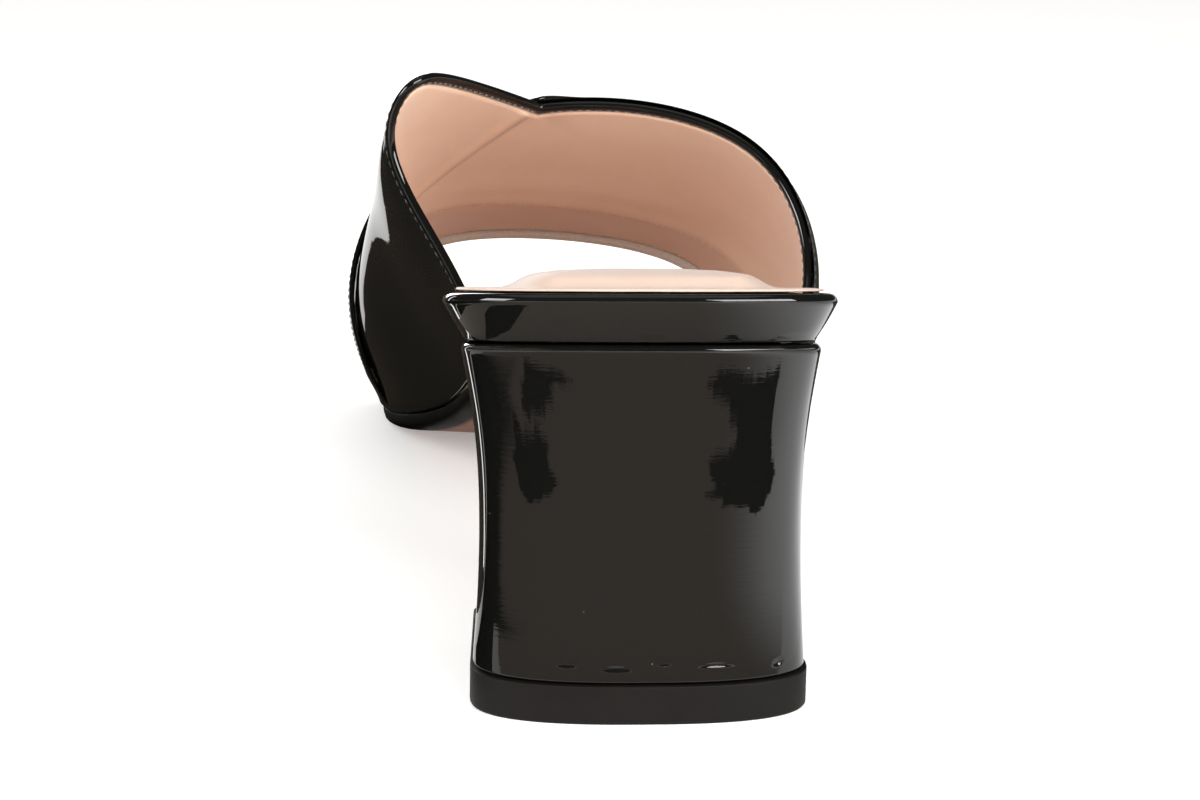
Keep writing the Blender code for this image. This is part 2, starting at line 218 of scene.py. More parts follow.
def plate(layers):
    """Points and faces of a closed plate: the first and last layers are grids, the others shape its edge."""
    rows, columns = layers[0].shape[:2]
    bottom, bottom_ring = grid_faces(rows, columns)
    top, top_ring = grid_faces(rows, columns, rows * columns)
    points = [layers[0].reshape(-1, 3), layers[-1].reshape(-1, 3)]
    rings = [bottom_ring]
    for middle in layers[1:-1]:
        rings.append(sum(map(len, points)) + np.arange(len(bottom_ring)))
        points.append(middle.reshape(-1, 3)[bottom_ring])
    return np.concatenate(points), np.concatenate([bottom, top, walls([*rings, top_ring])])


def layer(grid, height):
    """Points of a plan grid raised to the heights given."""
    return np.stack([*grid, np.broadcast_to(height, grid[0].shape)], -1)


# %% [markdown]
# A mesh becomes a piece of the shoe in one place. Its points go to metres and to the frame, its faces are
# turned outward, and it is shaded smooth. Then it rides on the one body of the shoe and stands for the
# solid that it replaces.

# %% From points to a piece of the shoe
def add_object(name, mesh):
    """An object at the origin that shows a mesh."""
    made = bpy.data.objects.new(name, mesh)
    bpy.context.scene.collection.objects.link(made)
    print(f"{name}: {len(mesh.vertices)} points, {len(mesh.polygons)} faces")
    return made


def in_frame(points):
    """Points of the shoe, in millimetres, as places in the frame."""
    return (np.asarray(points) * MM + SHOE_PLACE).tolist()


def add_mesh(name, points, faces, finish):
    """Closed mesh of points in millimetres."""
    mesh = bpy.data.meshes.new(name)
    mesh.from_pydata(in_frame(points), [], [list(face) for face in faces])
    turned = bmesh.new()
    turned.from_mesh(mesh)
    bmesh.ops.recalc_face_normals(turned, faces=turned.faces)
    turned.to_mesh(mesh)
    turned.free()
    mesh.shade_smooth()
    mesh.materials.append(finish)
    return add_object(name, mesh)


def paint(piece, name, values):
    """Gives every point of a piece a value, under a name that its finish can look up."""
    attribute = piece.data.attributes.new(name, "FLOAT", "POINT")
    attribute.data.foreach_set("value", values.ravel().astype(np.float32))


def dress(piece, slot, *solids):
    """The piece rides on the shoe and stands for the solids named; its slot is not used."""
    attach(piece, "root")
    if solids:
        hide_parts(*solids)


# %% [markdown]
# Materials come before the pieces that wear them. A finish here is a Principled shader with a few texture
# nodes, and small functions add the nodes that come up again and again. Colours are written as the hex
# values that a colour picker shows, and turned to the linear values that the shader works in. A noise is
# written as its size in millimetres, its detail and its roughness, and three sizes stretch it along the
# axes.

# %% Nodes that come up again and again
def colour(hex_text):
    """Linear colour of an sRGB hex value."""
    parts = [int(hex_text[i : i + 2], 16) / 255 for i in (1, 3, 5)]
    return (*(v / 12.92 if v <= 0.04045 else ((v + 0.055) / 1.055) ** 2.4 for v in parts), 1)


def per_metre(size):
    """Scale of a texture whose features are this many millimetres wide."""
    return 1 / (size * MM)


def add_node(tree, kind, settings=None, inputs=None):
    """Adds a node with its settings, and its inputs as values or as sockets to link."""
    made = tree.nodes.new(kind)
    for name, value in (settings or {}).items():
        setattr(made, name, value)
    for name, value in (inputs or {}).items():
        if isinstance(value, bpy.types.NodeSocket):
            tree.links.new(value, made.inputs[name])
        else:
            made.inputs[name].default_value = value
    return made


def noise(tree, place, size, detail=2.0, roughness=0.5):
    """Cloudy pattern."""
    scale = 1.0
    if isinstance(size, tuple):
        stretch = {"Vector": place, "Scale": tuple(map(per_metre, size))}
        place = add_node(tree, "ShaderNodeMapping", inputs=stretch).outputs["Vector"]
    else:
        scale = per_metre(size)
    inputs = {"Vector": place, "Scale": scale, "Detail": detail, "Roughness": roughness}
    return add_node(tree, "ShaderNodeTexNoise", inputs=inputs).outputs["Fac"]


def cells(tree, place, size):
    """Distance from the middles of scattered cells."""
    inputs = {"Vector": place, "Scale": per_metre(size)}
    return add_node(tree, "ShaderNodeTexVoronoi", inputs=inputs).outputs["Distance"]


def painted(tree, name):
    """The value that was painted on the piece under a name."""
    return add_node(tree, "ShaderNodeAttribute", {"attribute_name": name}).outputs["Fac"]


def blend(tree, share, first, second):
    """Colour between two others, each a hex value or a socket."""
    first, second = (colour(tone) if isinstance(tone, str) else tone for tone in (first, second))
    return add_node(tree, "ShaderNodeMix", {"data_type": "RGBA"}, {0: share, 6: first, 7: second}).outputs[2]


def spread(tree, value, low, high, start=0.0, end=1.0, easing="LINEAR"):
    """Maps a value that runs from start to end to one that runs from low to high."""
    inputs = {"Value": value, "From Min": start, "From Max": end, "To Min": low, "To Max": high}
    return add_node(tree, "ShaderNodeMapRange", {"interpolation_type": easing}, inputs).outputs["Result"]


def relief(tree, height, deep, strength=1.0, over=None, invert=False):
    """Normal of a bump with a depth in millimetres, laid over another normal if there is one."""
    inputs = {"Height": height, "Strength": strength, "Distance": deep * MM}
    if over is not None:
        inputs["Normal"] = over
    return add_node(tree, "ShaderNodeBump", {"invert": invert}, inputs).outputs["Normal"]


def new_finish(name, sockets):
    """A material with its shader's constant sockets set, its tree, its shader and its object coordinates."""
    finish = bpy.data.materials.new(name)
    finish.use_nodes = True
    tree = finish.node_tree
    shader = tree.nodes["Principled BSDF"]
    for socket, value in sockets.items():
        shader.inputs[socket].default_value = value
    place = add_node(tree, "ShaderNodeTexCoord").outputs["Object"]
    return finish, tree, shader, place


def join(tree, shader, sources):
    """Links sockets to the named inputs of a shader."""
    for socket, source in sources.items():
        tree.links.new(source, shader.inputs[socket])


def mottled_finish(name, sockets, tones, mottle, gloss, grain, mark=None):
    """Dull finish with two mottled tones and a grain; mark is a painted value and the tone it brings."""
    finish, tree, shader, place = new_finish(name, sockets)
    pattern, deep, strength = grain
    patch = noise(tree, place, *mottle)
    tone = blend(tree, patch, *tones)
    if mark:
        tone = blend(tree, painted(tree, mark[0]), tone, mark[1])
    bump = relief(tree, noise(tree, place, *pattern), deep, strength)
    join(tree, shader, {"Base Color": tone, "Roughness": spread(tree, patch, *gloss), "Normal": bump})
    return finish


# %% [markdown]
# Patent leather is thin leather under a poured coat of clear plastic. The coat gives mirror reflections;
# the leather under it is nearly black and gives almost none of its own. Stretched over the heel it shows
# faint hairline wrinkles across the pull, which fray the edges of a reflection, and a broad soft
# waviness. A coat layer over a dark base is how the Principled shader makes this. A few dust specks lie
# under the gloss.

# %% Black patent leather
PATENT_BLACK, PATENT_ROUGH = "#0b0b0a", (0.3, 0.45)
WRINKLES, WRINKLE_DEEP = ((5.0, 5.0, 0.45), 3.0, 0.6), 0.006
WAVES, WAVE_DEEP = (9.0, 1.0), 0.035
DUST_GREY, DUST_SHOWS, SPECK_SPACING, SPECK_SIZE = "#77726c", 0.6, 7.0, 0.16
PATENT_SOCKETS = {"Specular IOR Level": 0.0, "Coat Weight": 1.0, "Coat Roughness": 0.018, "Coat IOR": 1.42}


def patent_leather():
    """Clear-coated leather: deep black with sharp reflections that waver slightly."""
    finish, tree, shader, place = new_finish("patent_leather", PATENT_SOCKETS)
    wave = noise(tree, place, *WAVES)
    wavy = relief(tree, wave, WAVE_DEEP)
    wrinkled = relief(tree, noise(tree, place, *WRINKLES), WRINKLE_DEEP, over=wavy)
    middles = cells(tree, place, SPECK_SPACING)
    speck = spread(tree, middles, 0.0, DUST_SHOWS, start=SPECK_SIZE / SPECK_SPACING, end=0.0)
    join(tree, shader, {
        "Base Color": blend(tree, speck, PATENT_BLACK, DUST_GREY),
        "Roughness": spread(tree, wave, *PATENT_ROUGH),
        "Normal": wrinkled,
        "Coat Normal": wrinkled,
    })
    return finish


PATENT = patent_leather()

# %% [markdown]
# The lining and the sock are soft goat or sheep leather, dyed a pinkish nude and left matt. The eye sees
# a fine pebble grain, a little mottling from the dye, and pores. Voronoi cells make the pebbles and noise
# makes the mottling. The grain is drawn about twice as wide as the real one, so that it shows at the
# camera's distance.

# %% Nude lining leather
# The last colour is painted shade, which the lining takes along its seams and beyond the toe seam.
LINING_TONES, SOCK_TONES, PAINTED_SHADE_TONE = ("#eecdb5", "#e3bb9e"), ("#bca89c", "#b49a89"), "#9c6446"
PEBBLE, PORE, PEBBLE_DEEP, PEBBLE_STRENGTH, MOTTLE = 0.9, 0.3, 0.03, 0.8, (14.0, 4.0, 0.65)
NUDE_SOCKETS, NUDE_ROUGH = {"IOR": 1.45, "Sheen Weight": 0.08, "Sheen Roughness": 0.5}, (0.48, 0.66)


def nude_leather(name, tones):
    """Matt dyed leather with a pebble grain, darker where shade is painted on the piece."""
    finish, tree, shader, place = new_finish(name, NUDE_SOCKETS)
    pebble, pore = cells(tree, place, PEBBLE), noise(tree, place, PORE)
    grain = add_node(tree, "ShaderNodeMath", {"operation": "MULTIPLY"}, {0: pebble, 1: pore}).outputs["Value"]
    dyed = blend(tree, noise(tree, place, *MOTTLE), *tones)
    # The seam value painted on a piece is painted shade, along its seams and beyond the toe seam.
    join(tree, shader, {
        "Base Color": blend(tree, painted(tree, "seam"), dyed, PAINTED_SHADE_TONE),
        "Roughness": spread(tree, pore, *NUDE_ROUGH),
        "Normal": relief(tree, grain, PEBBLE_DEEP, PEBBLE_STRENGTH, invert=True),
    })
    return finish


LINING = nude_leather("lining_leather", LINING_TONES)
SOCK = nude_leather("sock_leather", SOCK_TONES)

# %% [markdown]
# The sole is vegetable-tanned leather: brown, slightly waxy, with a fine fibre running along it. Its edge
# is trimmed and inked black. Both are one piece of leather, so they share one material, and a value
# painted on the mesh says where the ink lies. The lift under the heel is moulded rubber: nearly black and
# dull, with the faint grit of the mould. The raw back of the leather, its flesh side, shows where an edge
# is turned in.

# %% Sole leather, rubber and the flesh side
SOLE = mottled_finish(
    "sole_leather", {"IOR": 1.48, "Specular IOR Level": 0.03}, tones=("#7f5a4a", "#65463a"),
    mottle=(18.0, 5.0, 0.7), gloss=(0.4, 0.7), grain=(((0.5, 9.0, 9.0), 4.0), 0.02, 0.6),
    mark=("ink", "#0b0a09"),
)
RUBBER = mottled_finish(
    "moulded_rubber", {"IOR": 1.52, "Specular IOR Level": 0.12}, tones=("#0a0807", "#14110f"),
    mottle=(11.0, 6.0, 0.75), gloss=(0.5, 0.75), grain=((0.5, 2.0), 0.02, 0.7),
)
FLESH_SIDE = mottled_finish(
    "flesh_side_leather", {"IOR": 1.45, "Sheen Weight": 0.3}, tones=("#d3c6ba", "#a3948a"),
    mottle=(0.6, 4.0, 0.7), gloss=(0.65, 0.9), grain=((0.6, 4.0, 0.7), 0.05, 0.7),
)

# %% [markdown]
# The sewing thread is bonded polyester, twisted from fine strands, with a soft shine. A wave texture that
# runs across the thread at an angle makes the strands, paler and darker in turn.

# %% Sewing thread
STRAND, STRAND_BEND, THREAD_ROUGH = 0.25, 1.0, (0.35, 0.6)
THREAD_TONES = {
    "black_thread": ("#2a2826", "#100f0e"),
    "brown_thread": ("#7a6d63", "#4b423b"),
    "nude_thread": ("#ecd0bc", "#d3ab92"),
}


def sewing_thread(name):
    finish, tree, shader, place = new_finish(name, {"IOR": 1.5, "Sheen Weight": 0.2})
    strand = add_node(tree, "ShaderNodeTexWave", {"bands_direction": "DIAGONAL"}, {
        "Vector": place, "Scale": per_metre(STRAND) / math.tau, "Distortion": STRAND_BEND,
    }).outputs["Fac"]
    tone = blend(tree, strand, *THREAD_TONES[name])
    join(tree, shader, {"Base Color": tone, "Roughness": spread(tree, strand, *THREAD_ROUGH)})
    return finish


THREADS = {name: sewing_thread(name) for name in THREAD_TONES}
print("finishes:", ", ".join(finish.name for finish in (PATENT, LINING, SOCK, SOLE, RUBBER, FLESH_SIDE)))

# %% [markdown]
# The insole board is the backbone of the shoe. Round the heel seat its edge is built up and wrapped in
# patent leather, so that it shows as a deep rim that flares out towards the top. A box with a Bevel
# modifier would be quick, but the rim changes its flare along the shoe, so its edge is a profile that
# runs round the outline.

# %% The wrapped rim of the insole board
RIM_FLARE, RIM_END, BOARD_EDGE = 2.3, 75.0, 0.6
RIM_TOP_ROUND, RIM_FOOT_ROUND, RIM_BULGE = 1.3, 0.45, 0.12
RIM_ENDS, RIM_MIDDLE, ROUND_STEPS, FACE_STEPS = 40, 120, 6, 8


def quarter(steps=ROUND_STEPS):
    """Pairs of sine and cosine over a quarter turn, for rounding an edge."""
    turn = np.linspace(0, math.pi / 2, steps + 1)
    return list(zip(np.sin(turn), np.cos(turn)))


def outline_ring(y, inset):
    medial, lateral = inset_edges(y, inset)
    return np.concatenate([lateral, medial[::-1]]).T


def rim_rings(y):
    """Rings of the board's edge, from its underside to the footbed."""
    foot = BOARD_EDGE + RIM_FLARE * (1 - ramp(HEEL_CURVE, RIM_END, y))
    rings = []
    for sine, cosine in quarter():
        ring = outline_ring(y, foot + RIM_FOOT_ROUND * (1 - sine))
        rings.append(np.stack([*ring, board_bottom(*ring) + RIM_FOOT_ROUND * (1 - cosine)], 1))
    for share in np.linspace(0, 1, FACE_STEPS + 1)[1:-1]:
        ring = outline_ring(y, foot * (1 - share) - RIM_BULGE * math.sin(math.pi * share))
        low, high = board_bottom(*ring) + RIM_FOOT_ROUND, bed_top(*ring) - RIM_TOP_ROUND
        rings.append(np.stack([*ring, low + share * (high - low)], 1))
    for sine, cosine in quarter():
        ring = outline_ring(y, RIM_TOP_ROUND * (1 - cosine))
        rings.append(np.stack([*ring, bed_top(*ring) - RIM_TOP_ROUND * (1 - sine)], 1))
    return rings


def strips(near, far):
    """Faces that cross a ring from one of its sides to the other."""
    return np.stack([near[:-1], near[1:], far[1:], far[:-1]], 1)


def rim_end(ring):
    half = len(ring) // 2
    return strips(ring[:half], ring[::-1][:half]).tolist()


def stacked(rings, end):
    """Points and faces of closed rings on top of each other; a function makes the faces of each end."""
    index = np.arange(len(rings) * len(rings[0])).reshape(len(rings), -1)
    return np.concatenate(rings), walls(index).tolist() + end(index[0]) + end(index[-1])


rim = add_mesh("wrapped_rim", *stacked(rim_rings(stations(RIM_ENDS, RIM_MIDDLE)), rim_end), PATENT)
dress(rim, "patent", "insole_board")

# %% [markdown]
# The heel is a moulded block, waisted like a spool and wrapped in one piece of patent leather. The
# leather is turned in at the top, which leaves a soft round lip under the rim, and at the foot, where the
# turn pulls small puckers. Rings that follow the heel's height carry the shape, and the puckers are dents
# listed one by one.

# %% The covered heel block
LIFT_HEIGHT = 6.0
HEEL = curves("rise half back front lean", (
    (0, 24.9, 5.4, 46.0, 0), (0.2, 24.3, 6.0, 46.4, 0), (0.46, 24.0, 6.2, 47.6, -0.1),
    (0.75, 24.7, 5.0, 51.8, -0.4), (1, 26.5, 2.6, 56.6, -0.8),
))
HEEL_BACK_CURVE, HEEL_BACK_POWER, HEEL_FRONT_CORNER, HEEL_TAPER = 12.0, 2.6, 3.0, 0.055
LIP_ROUND, HEM_ROUND, HEEL_TALL, RING_PACE = 1.3, 0.4, 52.0, 1.35
BACK_STEPS, SIDE_STEPS, CORNER_STEPS, HEEL_RINGS = 200, 24, 8, 120
# Each pucker has an x, a rise above the lift, a length, a height and a depth.
PUCKERS = (
    (-11.5, 3.1, 2.6, 0.5, 0.16),
    (-4.2, 2.6, 3.2, 0.45, 0.28),
    (2.8, 3.4, 2.0, 0.5, 0.12),
    (10.5, 3.0, 4.2, 0.4, 0.24),
    (20.0, 2.4, 1.2, 0.7, 0.3),
)


def heel_outline(half, back, front, outset=0):
    """Ring round the heel in plan: rounded back, tapering sides and a flat front with small corners."""
    half, back, front = half + outset, back - outset, front + outset
    turn = np.linspace(0, math.pi / 2, BACK_STEPS // 2 + 1)
    power = 2 / HEEL_BACK_POWER
    back_x = half * np.sin(turn) ** power
    back_y = back + HEEL_BACK_CURVE * (1 - np.cos(turn) ** power)
    side_y = np.linspace(back_y[-1], front - HEEL_FRONT_CORNER, SIDE_STEPS + 1)[1:]
    side_x = half - HEEL_TAPER * (side_y - back_y[-1])
    sine, cosine = np.array(quarter(CORNER_STEPS)).T
    x = np.concatenate([back_x, side_x, side_x[-1] - HEEL_FRONT_CORNER * (1 - cosine[1:])])
    y = np.concatenate([back_y, side_y, front - HEEL_FRONT_CORNER * (1 - sine[1:])])
    return np.concatenate([x, -x[:0:-1]]), np.concatenate([y, y[:0:-1]])


def heel_sizes(rise):
    return [float(HEEL[name](rise)) for name in ("half", "back", "front")]


def heel_ring(rise, inset):
    """Points of the block at a share of its height, taken in by an inset."""
    x, y = heel_outline(*heel_sizes(rise), -inset)
    x = x + HEEL["lean"](rise)
    floor, seat = LIFT_HEIGHT + CLEARANCE, board_bottom(x, y) - CLEARANCE
    return np.stack([x, y, floor + rise * (seat - floor)], 1)


def heel_rings():
    """Rings of the block from its hem at the foot, up the wall, to the lip under the rim."""
    hem = [(HEM_ROUND * (1 - c) / HEEL_TALL, HEM_ROUND * (1 - s)) for s, c in quarter()]
    lip = [(1 - LIP_ROUND * (1 - s) / HEEL_TALL, LIP_ROUND * (1 - c)) for s, c in quarter()]
    low, high = hem[-1][0], lip[0][0]
    rises = np.linspace(0, 1, HEEL_RINGS)[1:-1] ** RING_PACE
    wall = [(low + rise * (high - low), 0) for rise in rises]
    return [heel_ring(rise, inset) for rise, inset in hem + wall + lip]


def heel_end(ring):
    """Faces across a heel ring, which starts at the middle of its back."""
    half = len(ring) // 2
    near, far = ring[1 : half + 1], ring[:half:-1]
    return [(ring[0], near[0], far[0]), *strips(near, far).tolist()]


def pucker(points):
    """Dents the back of the heel just above the lift."""
    for x, rise, length, height, depth in PUCKERS:
        across = (points[:, 0] - x) / (length / 2)
        up = (points[:, 2] - LIFT_HEIGHT - rise) / (height / 2)
        behind = points[:, 1] < HEEL_BACK_CURVE
        points[:, 1] += depth * np.exp(-(across**2) - up**2) * behind


heel_points, heel_faces = stacked(heel_rings(), heel_end)
pucker(heel_points)
dress(add_mesh("covered_heel", heel_points, heel_faces, PATENT), "patent", "heel_block")

# %% [markdown]
# The lift, or top piece, is the part of the heel that wears on the floor. It is cut a little proud of the
# heel, with a small bevel at the floor. The same outline as the heel's foot makes it, with its own
# profile.

# %% The rubber lift
LIFT_PROUD, LIFT_BEVEL, LIFT_SHOULDER = 0.4, 0.6, 0.25


def lift_rings():
    """Rings of the lift from the floor to the heel's foot."""
    low = [(LIFT_BEVEL * (1 - c), LIFT_BEVEL * (1 - s)) for s, c in quarter()]
    high = [(LIFT_HEIGHT - LIFT_SHOULDER * (1 - s), LIFT_SHOULDER * (1 - c)) for s, c in quarter()]
    rings = []
    for height, inset in low + high:
        x, y = heel_outline(*heel_sizes(0), LIFT_PROUD - inset)
        rings.append(np.stack([x, y, np.full_like(x, height)], 1))
    return rings


dress(add_mesh("rubber_lift", *stacked(lift_rings(), heel_end), RUBBER), "lift", "heel_top_piece")

# %% [markdown]
# The outsole is a thin sheet of sole leather glued under the board, from the front of the heel to the
# toe. It is skived thin where it meets the heel, stays narrow at the waist, and treads flat under the
# ball. The plate function makes it, and the ink is painted on the points of its edge.

# %% The leather outsole
OUTSOLE_START, OUTSOLE_THICKNESS, BREAST_THICKNESS, SKIVE_END = 57.2, 3.1, 1.9, 100.0
OUTSOLE_BEVEL, OUTSOLE_EDGE, SOLE_SHOULDER = 3.0, 0.55, 0.3
WAIST_INSET, BALL_OUTSET, TOE_OUTSET = 1.5, 1.6, 1.2
WAIST_END, BALL_START, BALL_END, TOE_START = 80.0, 125.0, 200.0, 222.0
SOLE_ENDS, SOLE_MIDDLE, SOLE_COLUMNS, FIRST_GAP = 30, 140, 49, 1.0
INK_REACH = 1.5


def outsole_top(x, y):
    return board_bottom(x, y) - CLEARANCE


def outsole_bottom(x, y):
    """Underside of the outsole, skived thin at the heel's breast and worn flat where it treads."""
    gain = OUTSOLE_THICKNESS - BREAST_THICKNESS
    thickness = BREAST_THICKNESS + gain * ramp(OUTSOLE_START, SKIVE_END, y)
    return np.maximum(outsole_top(x, y) - thickness, 0)


def sole_grid(y, inset):
    """Plan grid of the outsole, cut off straight at the heel's breast."""
    x, along = plan_grid(y, inset, SOLE_COLUMNS)
    x[0], along[0] = x[1], OUTSOLE_START
    return x, along


def outsole_layers():
    y = stations(SOLE_ENDS, SOLE_MIDDLE)
    y = np.concatenate([[OUTSOLE_START], y[y > OUTSOLE_START + FIRST_GAP]])
    outset = -WAIST_INSET + (WAIST_INSET + BALL_OUTSET) * ramp(WAIST_END, BALL_START, y)
    outset = outset + (TOE_OUTSET - BALL_OUTSET) * ramp(BALL_END, TOE_START, y)
    layers = []
    for sine, cosine in quarter():
        grid = sole_grid(y, OUTSOLE_BEVEL * (1 - sine) - outset)
        low, high = outsole_bottom(*grid), outsole_top(*grid)
        layers.append(layer(grid, low + (1 - OUTSOLE_EDGE) * (high - low) * (1 - cosine)))
    for sine, cosine in quarter(ROUND_STEPS // 2):
        grid = sole_grid(y, SOLE_SHOULDER * (1 - cosine) - outset)
        layers.append(layer(grid, outsole_top(*grid) - SOLE_SHOULDER * (1 - sine)))
    return layers


sole_layers = outsole_layers()
outsole = add_mesh("leather_outsole", *plate(sole_layers), SOLE)
sole_x = sole_layers[0][..., 0]
margin = np.minimum(sole_x - sole_x[:, :1], sole_x[:, -1:] - sole_x)
ink = np.ones(len(outsole.data.vertices))
ink[: margin.size] = 1 - ramp(0, INK_REACH, margin).ravel()
paint(outsole, "ink", ink)
dress(outsole, "sole", "outsole")

# %% [markdown]
# The vamp of the mule is cut from patent leather, pulled over the last and lined. Its outer face is a
# surface with two coordinates: along the shoe, and around the foot from the inner feather line at 0 to
# the outer one at 1. Sections across the foot give the surface, and because a spline is linear in its
# values, one weight for each knot makes the whole surface at once.

# %% The surface of the upper
UPPER_WALL = 1.5
SECTION = curves("along crown_x crown_z medial_x medial_z lateral_x lateral_z", (
    (80, -8, 97.0, 33.4, 86, 34.4, 58),
    (100, -8, 86.5, 37.8, 68, 35.8, 52),
    (120, -7, 75.8, 39.1, 55.3, 38.6, 44),
    (145, -6, 62.3, 41.8, 38, 41.0, 33),
    (170, -8, 48.8, 42.2, 27, 40.3, 25),
    (205, -11, 35.8, 38.2, 21, 30.5, 17),
))
MEDIAL_SHOULDER, LATERAL_SHOULDER = 0.745, 0.72
SECTION_KNOTS = (0, 0.19, 0.34, 0.5, 0.66, 0.81, 1)
KNOT_WEIGHTS = [spline(SECTION_KNOTS, unit) for unit in np.eye(len(SECTION_KNOTS))]
NORMAL_REACH = 0.01


def upper_surface(around, y):
    """Points of the upper's outer face."""
    around, y = np.broadcast_arrays(np.asarray(around, float), np.asarray(y, float))
    crown_x, crown_z, inner_x, inner_z, outer_x, outer_z = (along(y) for along in SECTION.values())
    inner_x = -inner_x
    medial = -PLAN["medial"](y) - UPPER_WALL - CLEARANCE
    lateral = PLAN["lateral"](y) + UPPER_WALL + CLEARANCE
    knots_x = [
        medial, inner_x, crown_x + (inner_x - crown_x) * MEDIAL_SHOULDER, crown_x,
        crown_x + (outer_x - crown_x) * LATERAL_SHOULDER, outer_x, lateral,
    ]
    knots_z = [
        board_bottom(medial, y), inner_z, inner_z + (crown_z - inner_z) * MEDIAL_SHOULDER, crown_z,
        outer_z + (crown_z - outer_z) * LATERAL_SHOULDER, outer_z, board_bottom(lateral, y),
    ]
    weights = [weight(around) for weight in KNOT_WEIGHTS]
    x, z = (sum(w * value for w, value in zip(weights, knots)) for knots in (knots_x, knots_z))
    return np.stack([x, y, z], -1)


def forward(around, y):
    """Twice the way over the surface for a millimetre along the shoe."""
    return upper_surface(around, y + 1) - upper_surface(around, y - 1)


def upper_normal(around, y):
    """Outward normal of that face."""
    before, after = np.maximum(around - NORMAL_REACH, 0), np.minimum(around + NORMAL_REACH, 1)
    normal = np.cross(upper_surface(after, y) - upper_surface(before, y), forward(around, y))
    return normal / np.linalg.norm(normal, axis=-1, keepdims=True)


# %% [markdown]
# The top edge of the mule dips to a notch where the outer half of the vamp laps over the inner half. The
# edges are short tables too. A worn vamp bends across the ball of the foot, so a few soft creases are
# listed, as troughs with a place, a slant, a width and a depth in the shoe's own sizes.

# %% Edges and creases of the upper
NOTCH_AROUND, NOTCH_ALONG = NOTCH = 0.485, 122.5


def edge_curve(*rows):
    """An edge of the upper: the way along the shoe for a position around the foot."""
    return curves("around along", rows)["along"]


MEDIAL_TOPLINE = edge_curve((0, 83.4), (0.19, 95.2), (0.34, 97.2), (0.42, 110), NOTCH)
LATERAL_TOPLINE = edge_curve(NOTCH, (0.56, 118.5), (0.66, 114), (0.81, 103), (1, 86))
PANEL_EDGE = edge_curve((0, 182), (0.15, 157), (0.33, 139), NOTCH)
TOE_EDGE = edge_curve(
    (0, 204), (0.19, 201), (0.34, 197), (0.5, 195.5), (0.66, 194), (0.81, 193.5), (1, 194),
)
# Each crease has a middle around and along, a slant, a reach to both sides, a width and a depth.
CREASES = (
    (0.50, 160, 14, 0.20, 4.5, 0.20),
    (0.46, 172, 6, 0.18, 4.0, 0.22),
    (0.58, 181, -8, 0.14, 3.5, 0.14),
    (0.22, 176, -26, 0.08, 4.0, 0.16),
    (0.78, 166, 30, 0.09, 4.5, 0.18),
)
CREASE_CORE = 0.3


def creases(around, y):
    """Depth of the bending creases, in millimetres inward."""
    depth = np.zeros(np.broadcast(around, y).shape)
    for middle, along, slant, reach, width, deep in CREASES:
        off = (y - along - slant * (around - middle)) / width
        ends = 1 - ramp(CREASE_CORE * reach, reach, np.abs(around - middle))
        depth += deep * np.exp(-(off**2)) * ends
    return depth


def rear_edge(around, medial_edge):
    """Rear edge of the upper or of its lapped panel, which share the outer half of the topline."""
    return np.where(around < NOTCH_AROUND, medial_edge(around), LATERAL_TOPLINE(around))


def around_steps(foot, count):
    """Positions round the upper, one of them at the notch."""
    medial = np.linspace(foot, NOTCH_AROUND, count // 2 + 1)
    return np.concatenate([medial, np.linspace(NOTCH_AROUND, 1 - foot, count // 2 + 1)[1:]])


def pace(around, edge):
    """Millimetres along the shoe for each millimetre square to an edge of the upper."""
    run = np.gradient(upper_surface(around, edge), axis=0)
    run /= np.linalg.norm(run, axis=1, keepdims=True)
    ahead = forward(around, edge) / 2
    square = ahead - (ahead * run).sum(1, keepdims=True) * run
    return 1 / np.linalg.norm(square, axis=1)


# %% [markdown]
# A band of the upper is a closed strip. Its cross-section is a loop of points, each with a share of the
# way from the rear edge to the toe edge, a distance from the nearer edge, and a depth under the outer
# face. The same function sweeps any such loop round the foot, so the patent leather, the lining and the
# lapped panel differ only in their loops. A Solidify modifier would give a plain wall, but not an edge
# that is folded in.

# %% Sweeping a loop round the foot
EDGE_MARGIN = 4.0


def edge_run(share, points):
    """Rows of a loop that lie at one edge: share 0 is the rear edge and 1 the toe edge."""
    return [(share, distance, depth) for distance, depth in points]


def face_run(shares, depth):
    """Rows of a loop that cross from edge to edge at one depth."""
    return [(share, EDGE_MARGIN, depth) for share in shares]


def fold(radius, depth, steps=10):
    """Half circle at an edge, from the outer face at a depth inward."""
    turn = np.linspace(0, math.pi, steps + 1)
    return [(radius * (1 - math.sin(t)), depth + radius * (1 - math.cos(t))) for t in turn]


def loop_places(around, rear, loop):
    """Along-the-shoe positions and depths of a loop at every step around."""
    share, distance, depth = np.array(loop).T
    toe = TOE_EDGE(around)
    from_rear = rear[:, None] + distance * pace(around, rear)[:, None]
    from_toe = toe[:, None] - distance * pace(around, toe)[:, None]
    return from_rear * (1 - share) + from_toe * share, np.broadcast_to(depth, (len(around), len(depth)))


def under_face(around, y, depth):
    """Points at a depth under the creased outer face."""
    return upper_surface(around, y) - (depth + creases(around, y))[..., None] * upper_normal(around, y)


def swept_band(around, y, depth):
    """Points and faces of a loop swept round the foot, closed at both feet."""
    points = under_face(np.broadcast_to(around[:, None], y.shape), y, depth)
    index = np.arange(y.size).reshape(y.shape)
    return points.reshape(-1, 3), walls(index).tolist() + [index[0], index[-1]]


# %% [markdown]
# At the topline and at the toe the patent leather is skived, folded over by a couple of millimetres and
# sewn down, so the edge is a round black bead that shows from inside too. The loop goes along the
# outside, round the fold, back on the inside, and then steps down to the thin leather that the lining
# hides.

